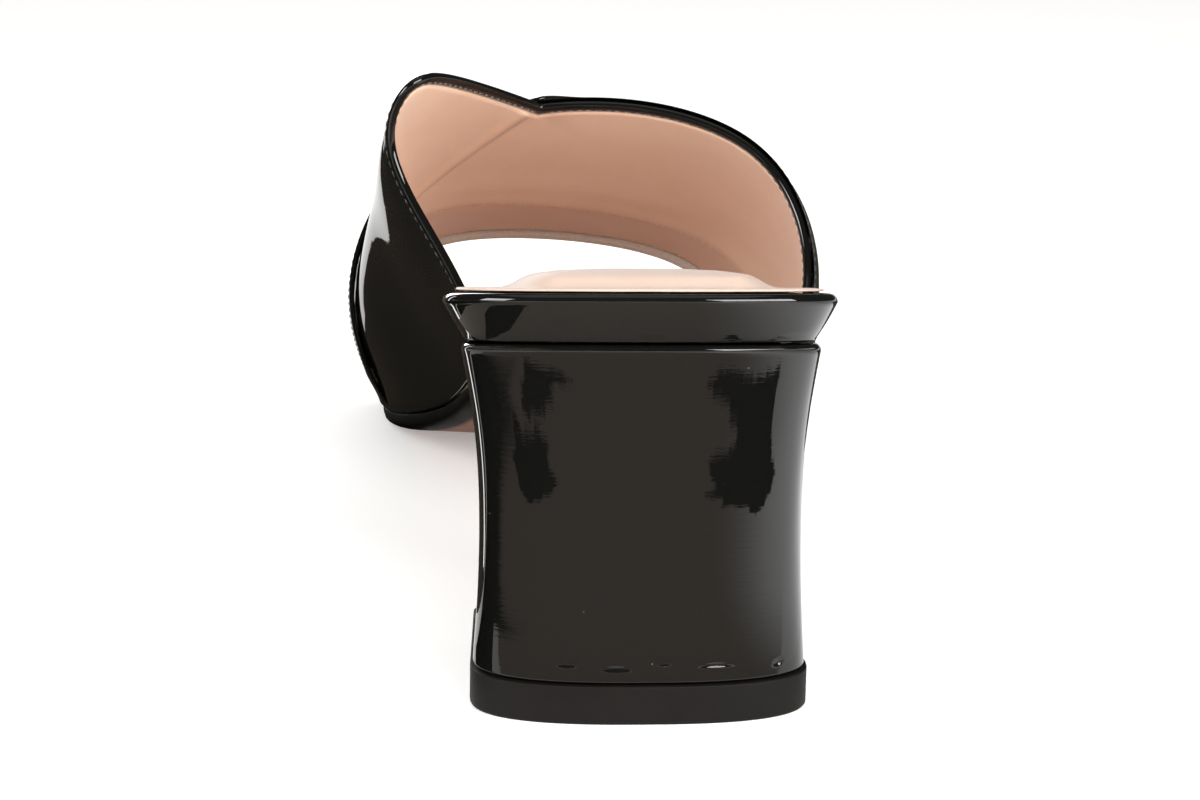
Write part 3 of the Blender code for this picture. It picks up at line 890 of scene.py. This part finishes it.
# %% Patent leather of the upper
PATENT_THICK, FOLD_WIDE, FOLD_STEP, FOLD_FLAT, FOLD_SINK = 0.9, 2.3, 0.35, 0.7, 0.05
UPPER_STEPS, UPPER_RUN = 300, 64
run = np.linspace(0, 1, UPPER_RUN)
folded = [
    (EDGE_MARGIN / 2, 0), *fold(UPPER_WALL / 2, 0), (FOLD_WIDE * FOLD_FLAT, UPPER_WALL),
    (FOLD_WIDE, UPPER_WALL - FOLD_SINK), (FOLD_WIDE + FOLD_STEP, PATENT_THICK),
]
upper_loop = face_run(run[::-1], 0) + edge_run(0, folded)
upper_loop += face_run(run, PATENT_THICK) + edge_run(1, folded[::-1])
upper_around = around_steps(0, UPPER_STEPS)
upper_rear = rear_edge(upper_around, MEDIAL_TOPLINE)
upper_band = swept_band(upper_around, *loop_places(upper_around, upper_rear, upper_loop))
dress(add_mesh("patent_upper", *upper_band, PATENT), "patent", "upper")

# %% [markdown]
# The lining is cut from several skins and sewn with flat seams. Two of them show inside this shoe: one
# slants down from the notch, where the outer panel laps, and one runs beside the toe edge. A flat seam is
# a tiny step, one skin on top of the other, so the lining gets a relief: a sharp rise at the seam that
# fades behind it. The shade that the step casts is also painted into the lining's colour as a dark line,
# the lining beyond the toe seam is painted darker as painted shade, and a short faint dark line with no
# relief is painted on past the notch.

# %% The lining and its seams
LINING_THICK, LINING_ROUND, LINING_GAP, LINING_RUN, LINING_BACK = 0.45, 0.22, 0.1, 200, 24
# Seam values: rise, sharpness and fade of the step, and the strength of the painted shade along it.
SEAM_RISE, SEAM_SHARP, SEAM_FADE, SEAM_SHADE = 0.55, 1.5, 6.0, 0.4
LAP_SEAM = edge_curve((0, 176), (0.2, 164), (0.34, 151.5), (0.4, 142.5), (0.46, 127.5), (NOTCH_AROUND, 121))
LAP_SEAM_END, CROSS_SEAM_END, CROSS_SEAM_SLANT, CROSS_SEAM_SOFT = 0.49, 0.53, 260.0, 3.0
# Toe seam values, with the strength of the painted shade beyond the seam.
TOE_SEAM, TOE_SEAM_SLANT, TOE_SEAM_PIVOT, TOE_SHADE, FAINT = 27.0, 38.0, 0.5, 0.28, 0.5


def toe_seam(around):
    """The seam beside the toe edge, which comes closer to it on the outer side."""
    return TOE_EDGE(around) - TOE_SEAM + TOE_SEAM_SLANT * (around - TOE_SEAM_PIVOT)


def seam_step(off):
    """Height of a flat seam at a distance from its line: a sharp rise in front and a slow fade behind."""
    return SEAM_RISE * ramp(-SEAM_SHARP, 0, off) * (1 - ramp(0, SEAM_FADE, off))


# Painted shade: a dark line where the seam's step shades the lining.
def painted_seam_shade(off):
    return SEAM_SHADE * np.exp(-((off / SEAM_SHARP) ** 2))


def lining_seams(around, y):
    """Relief of the lining's seams, and its painted shade along them and beyond the toe seam."""
    toe_off, lap_off = toe_seam(around) - y, LAP_SEAM(around) - y
    past_notch = ramp(NOTCH_AROUND, LAP_SEAM_END, around)
    cross_off = NOTCH_ALONG + CROSS_SEAM_SLANT * (around - NOTCH_AROUND) - y
    cross = past_notch * (1 - ramp(LAP_SEAM_END, CROSS_SEAM_END, around))
    height = FAINT * seam_step(toe_off) + (1 - past_notch) * seam_step(lap_off)
    dark = np.maximum(FAINT * painted_seam_shade(toe_off), (1 - past_notch) * painted_seam_shade(lap_off))
    # Painted shade: the lining beyond the toe seam is painted darker.
    toe = TOE_SHADE * ramp(-2 * SEAM_SHARP, 2 * SEAM_SHARP, -toe_off)
    crossing = FAINT * cross * painted_seam_shade(cross_off / CROSS_SEAM_SOFT)
    return height, np.maximum(np.maximum(dark, toe), crossing)


lining_edge, lining_reverse = FOLD_WIDE + LINING_GAP, UPPER_WALL - LINING_THICK
edge_turn = [
    (lining_edge + LINING_ROUND, UPPER_WALL), (lining_edge, UPPER_WALL - LINING_ROUND),
    (lining_edge, lining_reverse),
]
lining_loop = face_run(np.linspace(0, 1, LINING_RUN), UPPER_WALL) + edge_run(1, edge_turn)
lining_loop += face_run(np.linspace(1, 0, LINING_BACK), lining_reverse) + edge_run(0, edge_turn[::-1])
lining_y, lining_depth = loop_places(upper_around, upper_rear, lining_loop)
seam_height, painted_lining_shade = lining_seams(np.broadcast_to(upper_around[:, None], lining_y.shape), lining_y)
lining_depth = lining_depth + seam_height * (lining_depth == UPPER_WALL)
lining = add_mesh("lining", *swept_band(upper_around, lining_y, lining_depth), LINING)
paint(lining, "seam", painted_lining_shade)
dress(lining, "lining", "upper")

# %% [markdown]
# Inside the toe edge the leather is turned in, and the turn shows its raw flesh side: a soft grey-brown
# roll below the lining. A closed loop, swept along the toe edge, makes the roll.

# %% The turned toe edge
ROLL_RADIUS, ROLL_FROM_EDGE, ROLL_STEPS, ROLL_SINK = 1.05, 1.45, 14, 0.5
roll_turn = np.linspace(0, math.tau, ROLL_STEPS + 1)[:-1]
roll_distance = ROLL_FROM_EDGE + ROLL_RADIUS * np.cos(roll_turn)
roll_depth = UPPER_WALL + ROLL_RADIUS * (ROLL_SINK - np.sin(roll_turn))
roll_loop = edge_run(1, zip(roll_distance, roll_depth))
roll_band = swept_band(upper_around, *loop_places(upper_around, upper_rear, roll_loop))
dress(add_mesh("turned_toe_edge", *roll_band, FLESH_SIDE), "lining", "upper")

# %% [markdown]
# The outer half of the vamp is a second layer of patent leather that laps over the inner half, from the
# notch down to the inner feather line. It is the same sweep with a thinner fold, a little outside the
# first surface. A shoemaker pares, or skives, the layer where it would be too thick: at the feather lines
# and at the topline.

# %% The lapped outer panel
PANEL_WALL, PANEL_FOOT, PANEL_RUN = 1.0, 0.008, 64
SKIVED, PANEL_SKIVE, TOPLINE_SKIVE, NOTCH_BLEND = 0.2, 0.09, 6.0, 0.04
panel_out, panel_in = -CLEARANCE - PANEL_WALL, -CLEARANCE


def panel_thinning(around, y):
    """Share of the panel's thickness that is left."""
    feet = ramp(PANEL_FOOT, PANEL_SKIVE, np.minimum(around, 1 - around))
    lateral = ramp(NOTCH_AROUND, NOTCH_AROUND + NOTCH_BLEND, around)
    rear = 1 - lateral * (1 - ramp(0, TOPLINE_SKIVE, y - LATERAL_TOPLINE(around)))
    return SKIVED + (1 - SKIVED) * feet * rear


panel_edge = [(EDGE_MARGIN / 2, panel_out), *fold(PANEL_WALL / 2, panel_out), (EDGE_MARGIN / 2, panel_in)]
panel_shares = np.linspace(0, 1, PANEL_RUN)
panel_loop = face_run(panel_shares[::-1], panel_out) + edge_run(0, panel_edge)
panel_loop += face_run(panel_shares, panel_in) + edge_run(1, panel_edge[::-1])
panel_around = around_steps(PANEL_FOOT, UPPER_STEPS)
panel_y, panel_depth = loop_places(panel_around, rear_edge(panel_around, PANEL_EDGE), panel_loop)
panel_depth = panel_in + (panel_depth - panel_in) * panel_thinning(panel_around[:, None], panel_y)
panel_band = swept_band(panel_around, panel_y, panel_depth)
dress(add_mesh("lapped_panel", *panel_band, PATENT), "patent", "cross_panel")

# %% [markdown]
# Every folded edge is sewn down with a row of lockstitches, and the lining's seams are sewn too. A stitch
# is a short bead of thread that dips into the leather at both ends. Placing hundreds by hand would be
# slow, so a Geometry Nodes tree turns a path into a curve, marks points at the stitch length, and sets
# one bead on each point, turned along the path. The thread is drawn a little thicker than real, so that
# it shows.

# %% A tree that sews along a path
STITCH_SIZES = {"Pitch": 1.7, "Stitch Length": 1.35, "Thread": 0.42}
STITCH_SEED, SHORTEST_STITCH, LONGEST_STITCH = 7, 0.9, 1.05
BEAD = {"Segments": 8, "Rings": 6, "Radius": 0.5}


def stitch_tree():
    """Geometry Nodes tree that sets a bead of thread at every stitch of a path."""
    tree = bpy.data.node_groups.new("stitches", "GeometryNodeTree")
    sockets = {"Path": "Geometry", **dict.fromkeys(STITCH_SIZES, "Float"), "Finish": "Material"}
    for name, kind in sockets.items():
        tree.interface.new_socket(name, in_out="INPUT", socket_type="NodeSocket" + kind)
    tree.interface.new_socket("Stitches", in_out="OUTPUT", socket_type="NodeSocketGeometry")
    given = add_node(tree, "NodeGroupInput").outputs
    path = add_node(tree, "GeometryNodeMeshToCurve", inputs={"Mesh": given["Path"]})
    marks = add_node(tree, "GeometryNodeResampleCurve", {"mode": "LENGTH"}, {
        "Curve": path.outputs["Curve"], "Length": given["Pitch"],
    })
    bead = add_node(tree, "GeometryNodeMeshUVSphere", inputs=BEAD)
    size = add_node(tree, "ShaderNodeCombineXYZ", inputs={
        "X": given["Stitch Length"], "Y": given["Thread"], "Z": given["Thread"],
    })
    shaped = add_node(tree, "GeometryNodeTransform", inputs={
        "Geometry": bead.outputs["Mesh"], "Scale": size.outputs["Vector"],
    })
    tangent = add_node(tree, "GeometryNodeInputTangent").outputs["Tangent"]
    turn = add_node(tree, "FunctionNodeAlignRotationToVector", {"axis": "X"}, {"Vector": tangent})
    uneven = add_node(tree, "FunctionNodeRandomValue", {"data_type": "FLOAT"}, {
        2: SHORTEST_STITCH, 3: LONGEST_STITCH, "Seed": STITCH_SEED,
    })
    sewn = add_node(tree, "GeometryNodeInstanceOnPoints", inputs={
        "Points": marks.outputs["Curve"], "Instance": shaped.outputs["Geometry"],
        "Rotation": turn.outputs["Rotation"], "Scale": uneven.outputs[1],
    })
    real = add_node(tree, "GeometryNodeRealizeInstances", inputs={"Geometry": sewn.outputs["Instances"]})
    finished = add_node(tree, "GeometryNodeSetMaterial", inputs={
        "Geometry": real.outputs["Geometry"], "Material": given["Finish"],
    })
    add_node(tree, "NodeGroupOutput", inputs={"Stitches": finished.outputs["Geometry"]})
    return tree


STITCHES = stitch_tree()


def sew(name, paths, finish):
    """A piece with the stitches of several paths of points."""
    mesh = bpy.data.meshes.new(name + "_path")
    starts = np.cumsum([0] + [len(points) for points in paths])
    edges = [(i, i + 1) for first, last in zip(starts, starts[1:]) for i in range(first, last - 1)]
    mesh.from_pydata(in_frame(np.concatenate(paths)), edges, [])
    guide = add_object(name + "_path", mesh)
    sewing = guide.modifiers.new("sewing", "NODES")
    sewing.node_group = STITCHES
    given = {size: length * MM for size, length in STITCH_SIZES.items()} | {"Finish": finish}
    for item in STITCHES.interface.items_tree:
        if item.name in given:
            sewing[item.identifier] = given[item.name]
    graph = bpy.context.evaluated_depsgraph_get()
    sewn = bpy.data.meshes.new_from_object(guide.evaluated_get(graph))
    sewn.name = name
    sewn.shade_smooth()
    bpy.data.objects.remove(guide)
    return add_object(name, sewn)


# %% [markdown]
# The paths of the stitches lie on the same surface as the leather, a fixed distance from its edges. The
# rows outside use black thread, and the same seams show a brown thread on the inside of the fold. The
# rows beside the toe seam and the toe edge are sewn in the colour of the lining. The pale row at the toe
# edge also stands in for the light that catches the lining's edge there, as a painted highlight.

# %% Rows of stitches
ROW_INSET, SUNK, ROW_STEPS, SEAM_ROW, EDGE_ROW = 1.45, 0.08, 240, 1.2, 0.8
NEAR_NOTCH, NEAR_FOOT, TOE_SEAM_ROW, TOE_EDGE_ROW = 0.008, 0.02, 0.12, 0.06


def sewn_path(first, last, edge, inset, depth, square=True):
    """Points of a row beside an edge; its inset is positive towards the toe, and depth gives its face."""
    around = np.linspace(first, last, ROW_STEPS)
    y = edge(around)
    y = y + inset * (pace(around, y) if square else 1)
    return under_face(around, y, depth(around, y))


def on_leather(around, y):
    return SUNK


def on_fold(around, y):
    return UPPER_WALL - SUNK


def on_panel(around, y):
    return SUNK - CLEARANCE - PANEL_WALL * panel_thinning(around, y)


def on_lining(around, y):
    return UPPER_WALL - SUNK + lining_seams(around, y)[0]


medial_row = (NEAR_FOOT, NOTCH_AROUND - NEAR_NOTCH, MEDIAL_TOPLINE, ROW_INSET)
lateral_row = (NOTCH_AROUND + NEAR_NOTCH, 1 - NEAR_FOOT, LATERAL_TOPLINE, ROW_INSET)
black_paths = [
    sewn_path(*medial_row, on_leather),
    sewn_path(*lateral_row, on_panel),
    sewn_path(PANEL_SKIVE, NOTCH_AROUND - NEAR_NOTCH, PANEL_EDGE, ROW_INSET, on_panel),
    sewn_path(NEAR_FOOT, 1 - NEAR_FOOT, TOE_EDGE, -ROW_INSET, on_panel),
]
brown_paths = [sewn_path(*medial_row, on_fold), sewn_path(*lateral_row, on_fold)]
nude_paths = [
    sewn_path(TOE_SEAM_ROW, 1 - TOE_SEAM_ROW, toe_seam, SEAM_ROW, on_lining, square=False),
    # Pale stitches along the toe edge, partly a painted highlight of the lining's lit edge.
    sewn_path(TOE_EDGE_ROW, 1 - TOE_EDGE_ROW, TOE_EDGE, -FOLD_WIDE - EDGE_ROW, on_lining, square=False),
]
dress(sew("black_stitches", black_paths, THREADS["black_thread"]), "patent")
dress(sew("brown_stitches", brown_paths, THREADS["brown_thread"]), "lining")
dress(sew("nude_stitches", nude_paths, THREADS["nude_thread"]), "lining")

# %% [markdown]
# The sock is the nude leather that the foot touches, glued over a thin foam cushion. The cushion stops
# short of the edge, so a flat border runs round it and the middle swells. It starts as a plate with a
# cushion that is a little too flat.

# %% The padded sock
SOCK_INSET, SOCK_THICKNESS, SOCK_ROUND, SOCK_ROUND_STEPS = 2.0, 0.4, 0.25, 2
PAD_RISE, PAD_BORDER, PAD_SLOPE, PAD_BACK, PAD_FRONT = 2.3, 8.5, 5.5, 3.0, 226.0
SOCK_ENDS, SOCK_MIDDLE, SOCK_COLUMNS = 16, 74, 45


def pad_share(x, y):
    """How far a point is up the cushion's slope: 0 on the flat border and 1 on the cushion."""
    medial, lateral = plan_edges(y)
    side = np.minimum(x - medial, lateral - x) - PAD_BORDER
    return ramp(0, PAD_SLOPE, np.minimum(np.minimum(side, y - PAD_BACK), PAD_FRONT - y))


def sock_layers():
    y = stations(SOCK_ENDS, SOCK_MIDDLE)
    edge = plan_grid(y, SOCK_INSET, SOCK_COLUMNS)
    rest = bed_top(*edge) + CLEARANCE
    layers = [layer(edge, rest), layer(edge, rest + SOCK_THICKNESS - SOCK_ROUND)]
    for sine, cosine in quarter(SOCK_ROUND_STEPS)[1:]:
        grid = plan_grid(y, SOCK_INSET + SOCK_ROUND * (1 - cosine), SOCK_COLUMNS)
        height = bed_top(*grid) + CLEARANCE + SOCK_THICKNESS - SOCK_ROUND * (1 - sine)
        layers.append(layer(grid, height + PAD_RISE * pad_share(*grid)))
    return layers


sock = add_mesh("padded_sock", *plate(sock_layers()), SOCK)

# %% [markdown]
# Foam under leather bulges most in the middle and is held at its border, which is what a cloth simulation
# gives. The border and the underside are pinned, air pressure lifts the rest for a few frames, and no
# point may rise more than a set height. The result is kept as a plain mesh, and one subdivision smooths
# it.

# %% The cushion swells
SWELL_PRESSURE, SWELL_MASS, SWELL_FRAMES, SWELL_CAP = 6.0, 0.0004, 20, 0.8
NO_LENGTH = 1e-9


def pinning(points):
    """How firmly each point of the sock is held: fully on border and underside, not at all on the cushion."""
    x, y, z = (points / MM - SHOE_PLACE / MM).T
    on_top = z > bed_top(x, y) + CLEARANCE + SOCK_THICKNESS - SOCK_ROUND
    return np.where(on_top, 1 - pad_share(x, y), 1.0)


def mesh_points(mesh):
    points = np.empty(len(mesh.vertices) * 3, np.float32)
    mesh.vertices.foreach_get("co", points)
    return points.reshape(-1, 3).astype(float)


def swell(piece):
    """Lifts the loose points of a piece with a cloth simulation and keeps the result in its mesh."""
    before = mesh_points(piece.data)
    held = piece.vertex_groups.new(name="held")
    for index, weight in enumerate(pinning(before)):
        held.add([index], float(weight), "REPLACE")
    cloth = piece.modifiers.new("cloth", "CLOTH")
    cloth.settings.vertex_group_mass = held.name
    cloth.settings.mass = SWELL_MASS
    cloth.settings.use_pressure = True
    cloth.settings.uniform_pressure_force = SWELL_PRESSURE
    cloth.settings.effector_weights.gravity = 0
    cloth.point_cache.frame_start, cloth.point_cache.frame_end = 1, SWELL_FRAMES
    scene = bpy.context.scene
    for frame in range(1, SWELL_FRAMES + 1):
        scene.frame_set(frame)
    graph = bpy.context.evaluated_depsgraph_get()
    moved = mesh_points(piece.evaluated_get(graph).data) - before
    piece.modifiers.remove(cloth)
    piece.vertex_groups.remove(held)
    scene.frame_set(1)
    length = np.linalg.norm(moved, axis=1, keepdims=True)
    print("free rise of the cushion in mm:", round(float(length.max()) / MM, 3))
    capped = before + moved * np.minimum(1, SWELL_CAP * MM / np.maximum(length, NO_LENGTH))
    piece.data.vertices.foreach_set("co", capped.ravel().astype(np.float32))
    piece.data.update()


swell(sock)
smooth = sock.modifiers.new("smooth", "SUBSURF")
smooth.levels = smooth.render_levels = 1
dress(sock, "lining", "sock_lining")

# %% [markdown]
# The shoe stands on a plain pale floor that glows a little, like a light table, so its shadow stays
# faint. The floor is one flat card.

# %% The floor
HALF_FLOOR, FLOOR_WHITE = 3000.0, colour("#f4f3f1")
PAPER_SOCKETS = {
    "Roughness": 0.9, "Specular IOR Level": 0.1, "Base Color": FLOOR_WHITE,
    "Emission Color": FLOOR_WHITE, "Emission Strength": 0.32,
}


def add_stage(name, corners, finish):
    """A flat card of the studio, which is no part of the shoe."""
    mesh = bpy.data.meshes.new(name)
    mesh.from_pydata([tuple(np.array(corner) * MM) for corner in corners], [], [tuple(range(len(corners)))])
    mesh.materials.append(finish)
    made = add_object(name, mesh)
    return made


floor_corners = [(x * HALF_FLOOR, y * HALF_FLOOR, 0) for x, y in ((-1, -1), (1, -1), (1, 1), (-1, 1))]
add_stage("floor", floor_corners, new_finish("studio_paper", PAPER_SOCKETS)[0])

# %% [markdown]
# Black patent leather shows almost nothing but reflections, so the studio matters as much as the shoe.
# Two soft boxes from behind light the lining, and smaller ones make the streaks in the gloss. Each light
# says whether matt surfaces, gloss or both see it, because a light that fills the lining well can spoil a
# reflection.

# %% The lights
WORLD_LIGHT, WORLD_GLOSS, WORLD_SEEN = 0.58, 0.05, 1.0
# Each soft box has a place, a point that it looks at, a size, a power and the surfaces that see it.
SOFTBOXES = (
    ("overhead", (0, 80, 900), (0, 60, 0), (800, 800), 1.4, "both"),
    ("right_fill", (420, -700, 450), (-20, 110, 60), (500, 400), 10.5, "matt"),
    ("left_fill", (-420, -750, 450), (20, 110, 60), (500, 400), 8.5, "matt"),
    ("left_box", (-760, -420, 420), (0, 20, 60), (420, 420), 9.0, "gloss"),
    ("right_box", (560, -600, 430), (0, 20, 60), (700, 400), 14.0, "gloss"),
    ("toe_strip", (-210, 700, 170), (-40, 130, 60), (420, 260), 4.0, "gloss"),
    ("edge_strip", (-66, 57, 45), (-25, 20, 45), (5, 80), 0.008, "gloss"),
)


def add_softbox(name, place, aim, size, power, seen):
    """Rectangular soft light at a place, turned to an aim."""
    light = bpy.data.lights.new(name, "AREA")
    light.shape = "RECTANGLE"
    light.size, light.size_y = size[0] * MM, size[1] * MM
    light.energy = power
    made = bpy.data.objects.new(name, light)
    made.location = Vector(place) * MM + Vector(SHOE_PLACE)
    look = Vector(aim) * MM + Vector(SHOE_PLACE) - made.location
    made.rotation_euler = look.to_track_quat("-Z", "Y").to_euler()
    made.visible_camera = False
    made.visible_diffuse = seen != "gloss"
    made.visible_glossy = seen != "matt"
    bpy.context.scene.collection.objects.link(made)


world = bpy.data.worlds.new("studio")
world.use_nodes = True
bpy.context.scene.world = world
sky = world.node_tree.nodes["Background"]
ray = add_node(world.node_tree, "ShaderNodeLightPath").outputs
unseen = spread(world.node_tree, ray["Is Glossy Ray"], WORLD_LIGHT, WORLD_GLOSS)
join(world.node_tree, sky, {"Strength": spread(world.node_tree, ray["Is Camera Ray"], unseen, WORLD_SEEN)})
sky.inputs["Color"].default_value = (1, 1, 1, 1)
for softbox in SOFTBOXES:
    add_softbox(*softbox)
bpy.context.scene.view_settings.view_transform = "Standard"
print("lights:", ", ".join(name for name, *_ in SOFTBOXES))

# %% [markdown]
# Grey and black cards give the gloss something dark to show. They lie on the floor or stand beside the
# shoe, and only reflections see them. The ones behind the heel were found by following the mirrored line
# of sight down to the floor. A card may fade into another tone, and torn edges make a reflection ragged.

# %% Cards that only the gloss sees
PALE, RIM, GREY, DIM, SHADE, BLACK = "#ffffff", "#c8bbb0", "#a89b90", "#4d4740", "#3a352f", "#000000"
CARD_SOCKETS, CARD_GLOW, SOFT_GLOW = {"Roughness": 1.0, "Specular IOR Level": 0.0}, 0.9, 0.32
# Each fade has a direction, the distances where it starts and ends, and its last tone.
FADES = {
    "heel_card": ((1, 0, 0), 40, 115, PALE),
    "right_card": ((1, 0, 0), 60, 110, PALE),
    "rim_screen": ((1, 0, 0), 6, 30, PALE),
    "edge_card": ((-0.72, -0.69, 0), 73, 84, GREY),
}
# Each standing card has two feet and a height.
STANDING_CARDS = (
    ("inner_card", (-105, 70), (-166, 410), 220),
    ("corner_screen", (-30, 62), (-80, 62), 58),
)
# Each flat card has a tone, a height and its corners.
FLAT_CARDS = (
    ("heel_card", GREY, 0.4, ((-150, -330), (150, -330), (150, -5), (-150, -5))),
    ("inner_floor_card", SHADE, 0.5, (
        (-170, 70), (-30, 70), (-30, 222), (-72, 222), (-106, 280), (-122, 340), (-131, 420), (-136, 540),
        (-170, 540),
    )),
    ("outer_floor_card", DIM, 0.5, ((34, 240), (34, 600), (260, 600), (260, 130), (90, 130), (60, 170))),
    ("right_card", PALE, 0.3, ((60, -5), (150, -5), (150, 120), (60, 120))),
    ("edge_card", BLACK, 0.6, (
        (-60, -56), (-68, -57), (-118, -5), (-122, 58), (-97, 66), (-38, 42), (-34, 5), (-88, 8), (-80, -20),
    )),
    ("rim_screen", RIM, 57.3, (
        (-30, 14), (-22, 6), (-12, 2.5), (0, 1.5), (12, 2.5), (22, 6), (32, 16), (48, -20), (-45, -20),
    )),
    ("corner_card", BLACK, 57.3, ((-36, -10), (-36, 30), (-140, 40), (-140, -30))),
    ("rim_card", BLACK, 57.5, ((-27.5, 5), (-24, 8), (-21.5, 4.5), (-21, -3), (-24, -3), (-28, 1))),
)
SPOT_HEIGHT, SPOT_STEP, SPOT_RAG, SPOT_SEED = 27.0, 0.9, (2.4, 1.1), 11
SPOTS = (
    ("left_upper_spot", (
        (-38, -25), (-26, -30), (-18, -30), (-26, -25), (-26, -22), (-32, -18), (-39, -15), (-38, -21),
    )),
    ("left_lower_spot", (
        (-41, -10), (-30, -18), (-24.5, -18), (-26, -15), (-21, -13), (-24, -7), (-27, -3), (-36, -4),
        (-41, -4),
    )),
    ("right_spot", (
        (18, -31), (26, -32.5), (52, -17), (52, -13.5), (46, -15.5), (41, -2), (33, -2), (26, -1.5), (21, -6),
        (15, -11), (19, -15.5), (16, -17.5), (18.5, -20), (27.5, -19), (28, -22), (26, -25.5), (20, -28),
    )),
)


def card_finish(tone, fade=None):
    """Matt card of one tone, for the studio alone; a fade turns it into another tone along a direction."""
    finish, tree, shader, place = new_finish("studio_card", CARD_SOCKETS | {"Base Color": colour(tone)})
    if fade:
        way, first, last, end_tone = fade
        start = float(np.dot(way, SHOE_PLACE))
        away = add_node(tree, "ShaderNodeVectorMath", {"operation": "DOT_PRODUCT"}, {0: place, 1: way})
        limits = (start + first * MM, start + last * MM)
        share = spread(tree, away.outputs["Value"], 0.0, 1.0, *limits, "SMOOTHSTEP")
        glow = spread(tree, share, SOFT_GLOW * (tone == PALE), CARD_GLOW * (end_tone == PALE))
        shader.inputs["Emission Color"].default_value = colour(PALE)
        join(tree, shader, {"Base Color": blend(tree, share, tone, end_tone), "Emission Strength": glow})
    return finish


def ragged(corners, chance):
    """Corners of a torn card: its edges are cut into short steps that stray to both sides."""
    torn = []
    for start, end in zip(np.array(corners), np.roll(corners, -1, axis=0)):
        steps = max(1, round(float(np.linalg.norm(end - start)) / SPOT_STEP))
        torn += [start + (end - start) * step / steps for step in range(steps)]
    stray = chance.uniform(-1, 1, (len(torn), 2)) * SPOT_RAG
    return np.array(torn) + (2 * stray + np.roll(stray, 1, axis=0)) / 3


def add_card(name, corners, finish):
    """A card beside the shoe that shows in reflections alone."""
    card = add_stage(name, [np.array(corner) + SHOE_PLACE / MM for corner in corners], finish)
    card.visible_camera = card.visible_diffuse = card.visible_shadow = False
    card.visible_transmission = card.visible_volume_scatter = False


shade_finish, black_finish = card_finish(SHADE), card_finish(BLACK)
for name, near, far, tall in STANDING_CARDS:
    add_card(name, [(*near, 0), (*far, 0), (*far, tall), (*near, tall)], shade_finish)
for name, tone, height, corners in FLAT_CARDS:
    add_card(name, [(x, y, height) for x, y in corners], card_finish(tone, FADES.get(name)))
chance = np.random.default_rng(SPOT_SEED)
for name, corners in SPOTS:
    add_card(name, [(x, y, SPOT_HEIGHT) for x, y in ragged(corners, chance)], black_finish)

# %% [markdown]
# The camera stands where the photographer stood, a little to the inner side of the shoe and above it. Its
# place and tilt came from fitting the shoe's known sizes to the picture. It turns to the shoe and zooms
# in, which keeps the same perspective, and its level follows the picture's own.

# %% The camera
CAMERA_PLACE, CAMERA_TILT = (-42.3, -458.4, 163.0), 12.71
PHOTO_FOCAL, PHOTO_CENTRE, SHOE_PIXEL = 1667.0, (600.0, 400.0), (722.0, 431.0)
SENSOR, CAMERA_LENS, NEAREST_SEEN = 36.0, 100.0, 10.0


def shoe_direction():
    """The direction from the camera to the middle of the shoe in the picture."""
    tilt = math.radians(CAMERA_TILT)
    ahead = Vector((0, math.cos(tilt), -math.sin(tilt)))
    up = Vector((0, math.sin(tilt), math.cos(tilt)))
    right = (SHOE_PIXEL[0] - PHOTO_CENTRE[0]) / PHOTO_FOCAL
    down = (SHOE_PIXEL[1] - PHOTO_CENTRE[1]) / PHOTO_FOCAL
    return (ahead + Vector((right, 0, 0)) - up * down).normalized()


look = shoe_direction()
level = Vector((1, 0, 0))
level = (level - level.dot(look) * look).normalized()
camera = bpy.data.objects.new("camera", bpy.data.cameras.new("camera"))
camera.data.sensor_width, camera.data.lens = SENSOR, CAMERA_LENS
camera.data.clip_start = NEAREST_SEEN * MM
turned = Matrix((level, level.cross(look), -look)).transposed()
camera.matrix_world = Matrix.Translation(Vector(CAMERA_PLACE) * MM + Vector(SHOE_PLACE)) @ turned.to_4x4()
bpy.context.scene.collection.objects.link(camera)
bpy.context.scene.camera = camera
print("camera at", [round(value, 4) for value in camera.location])
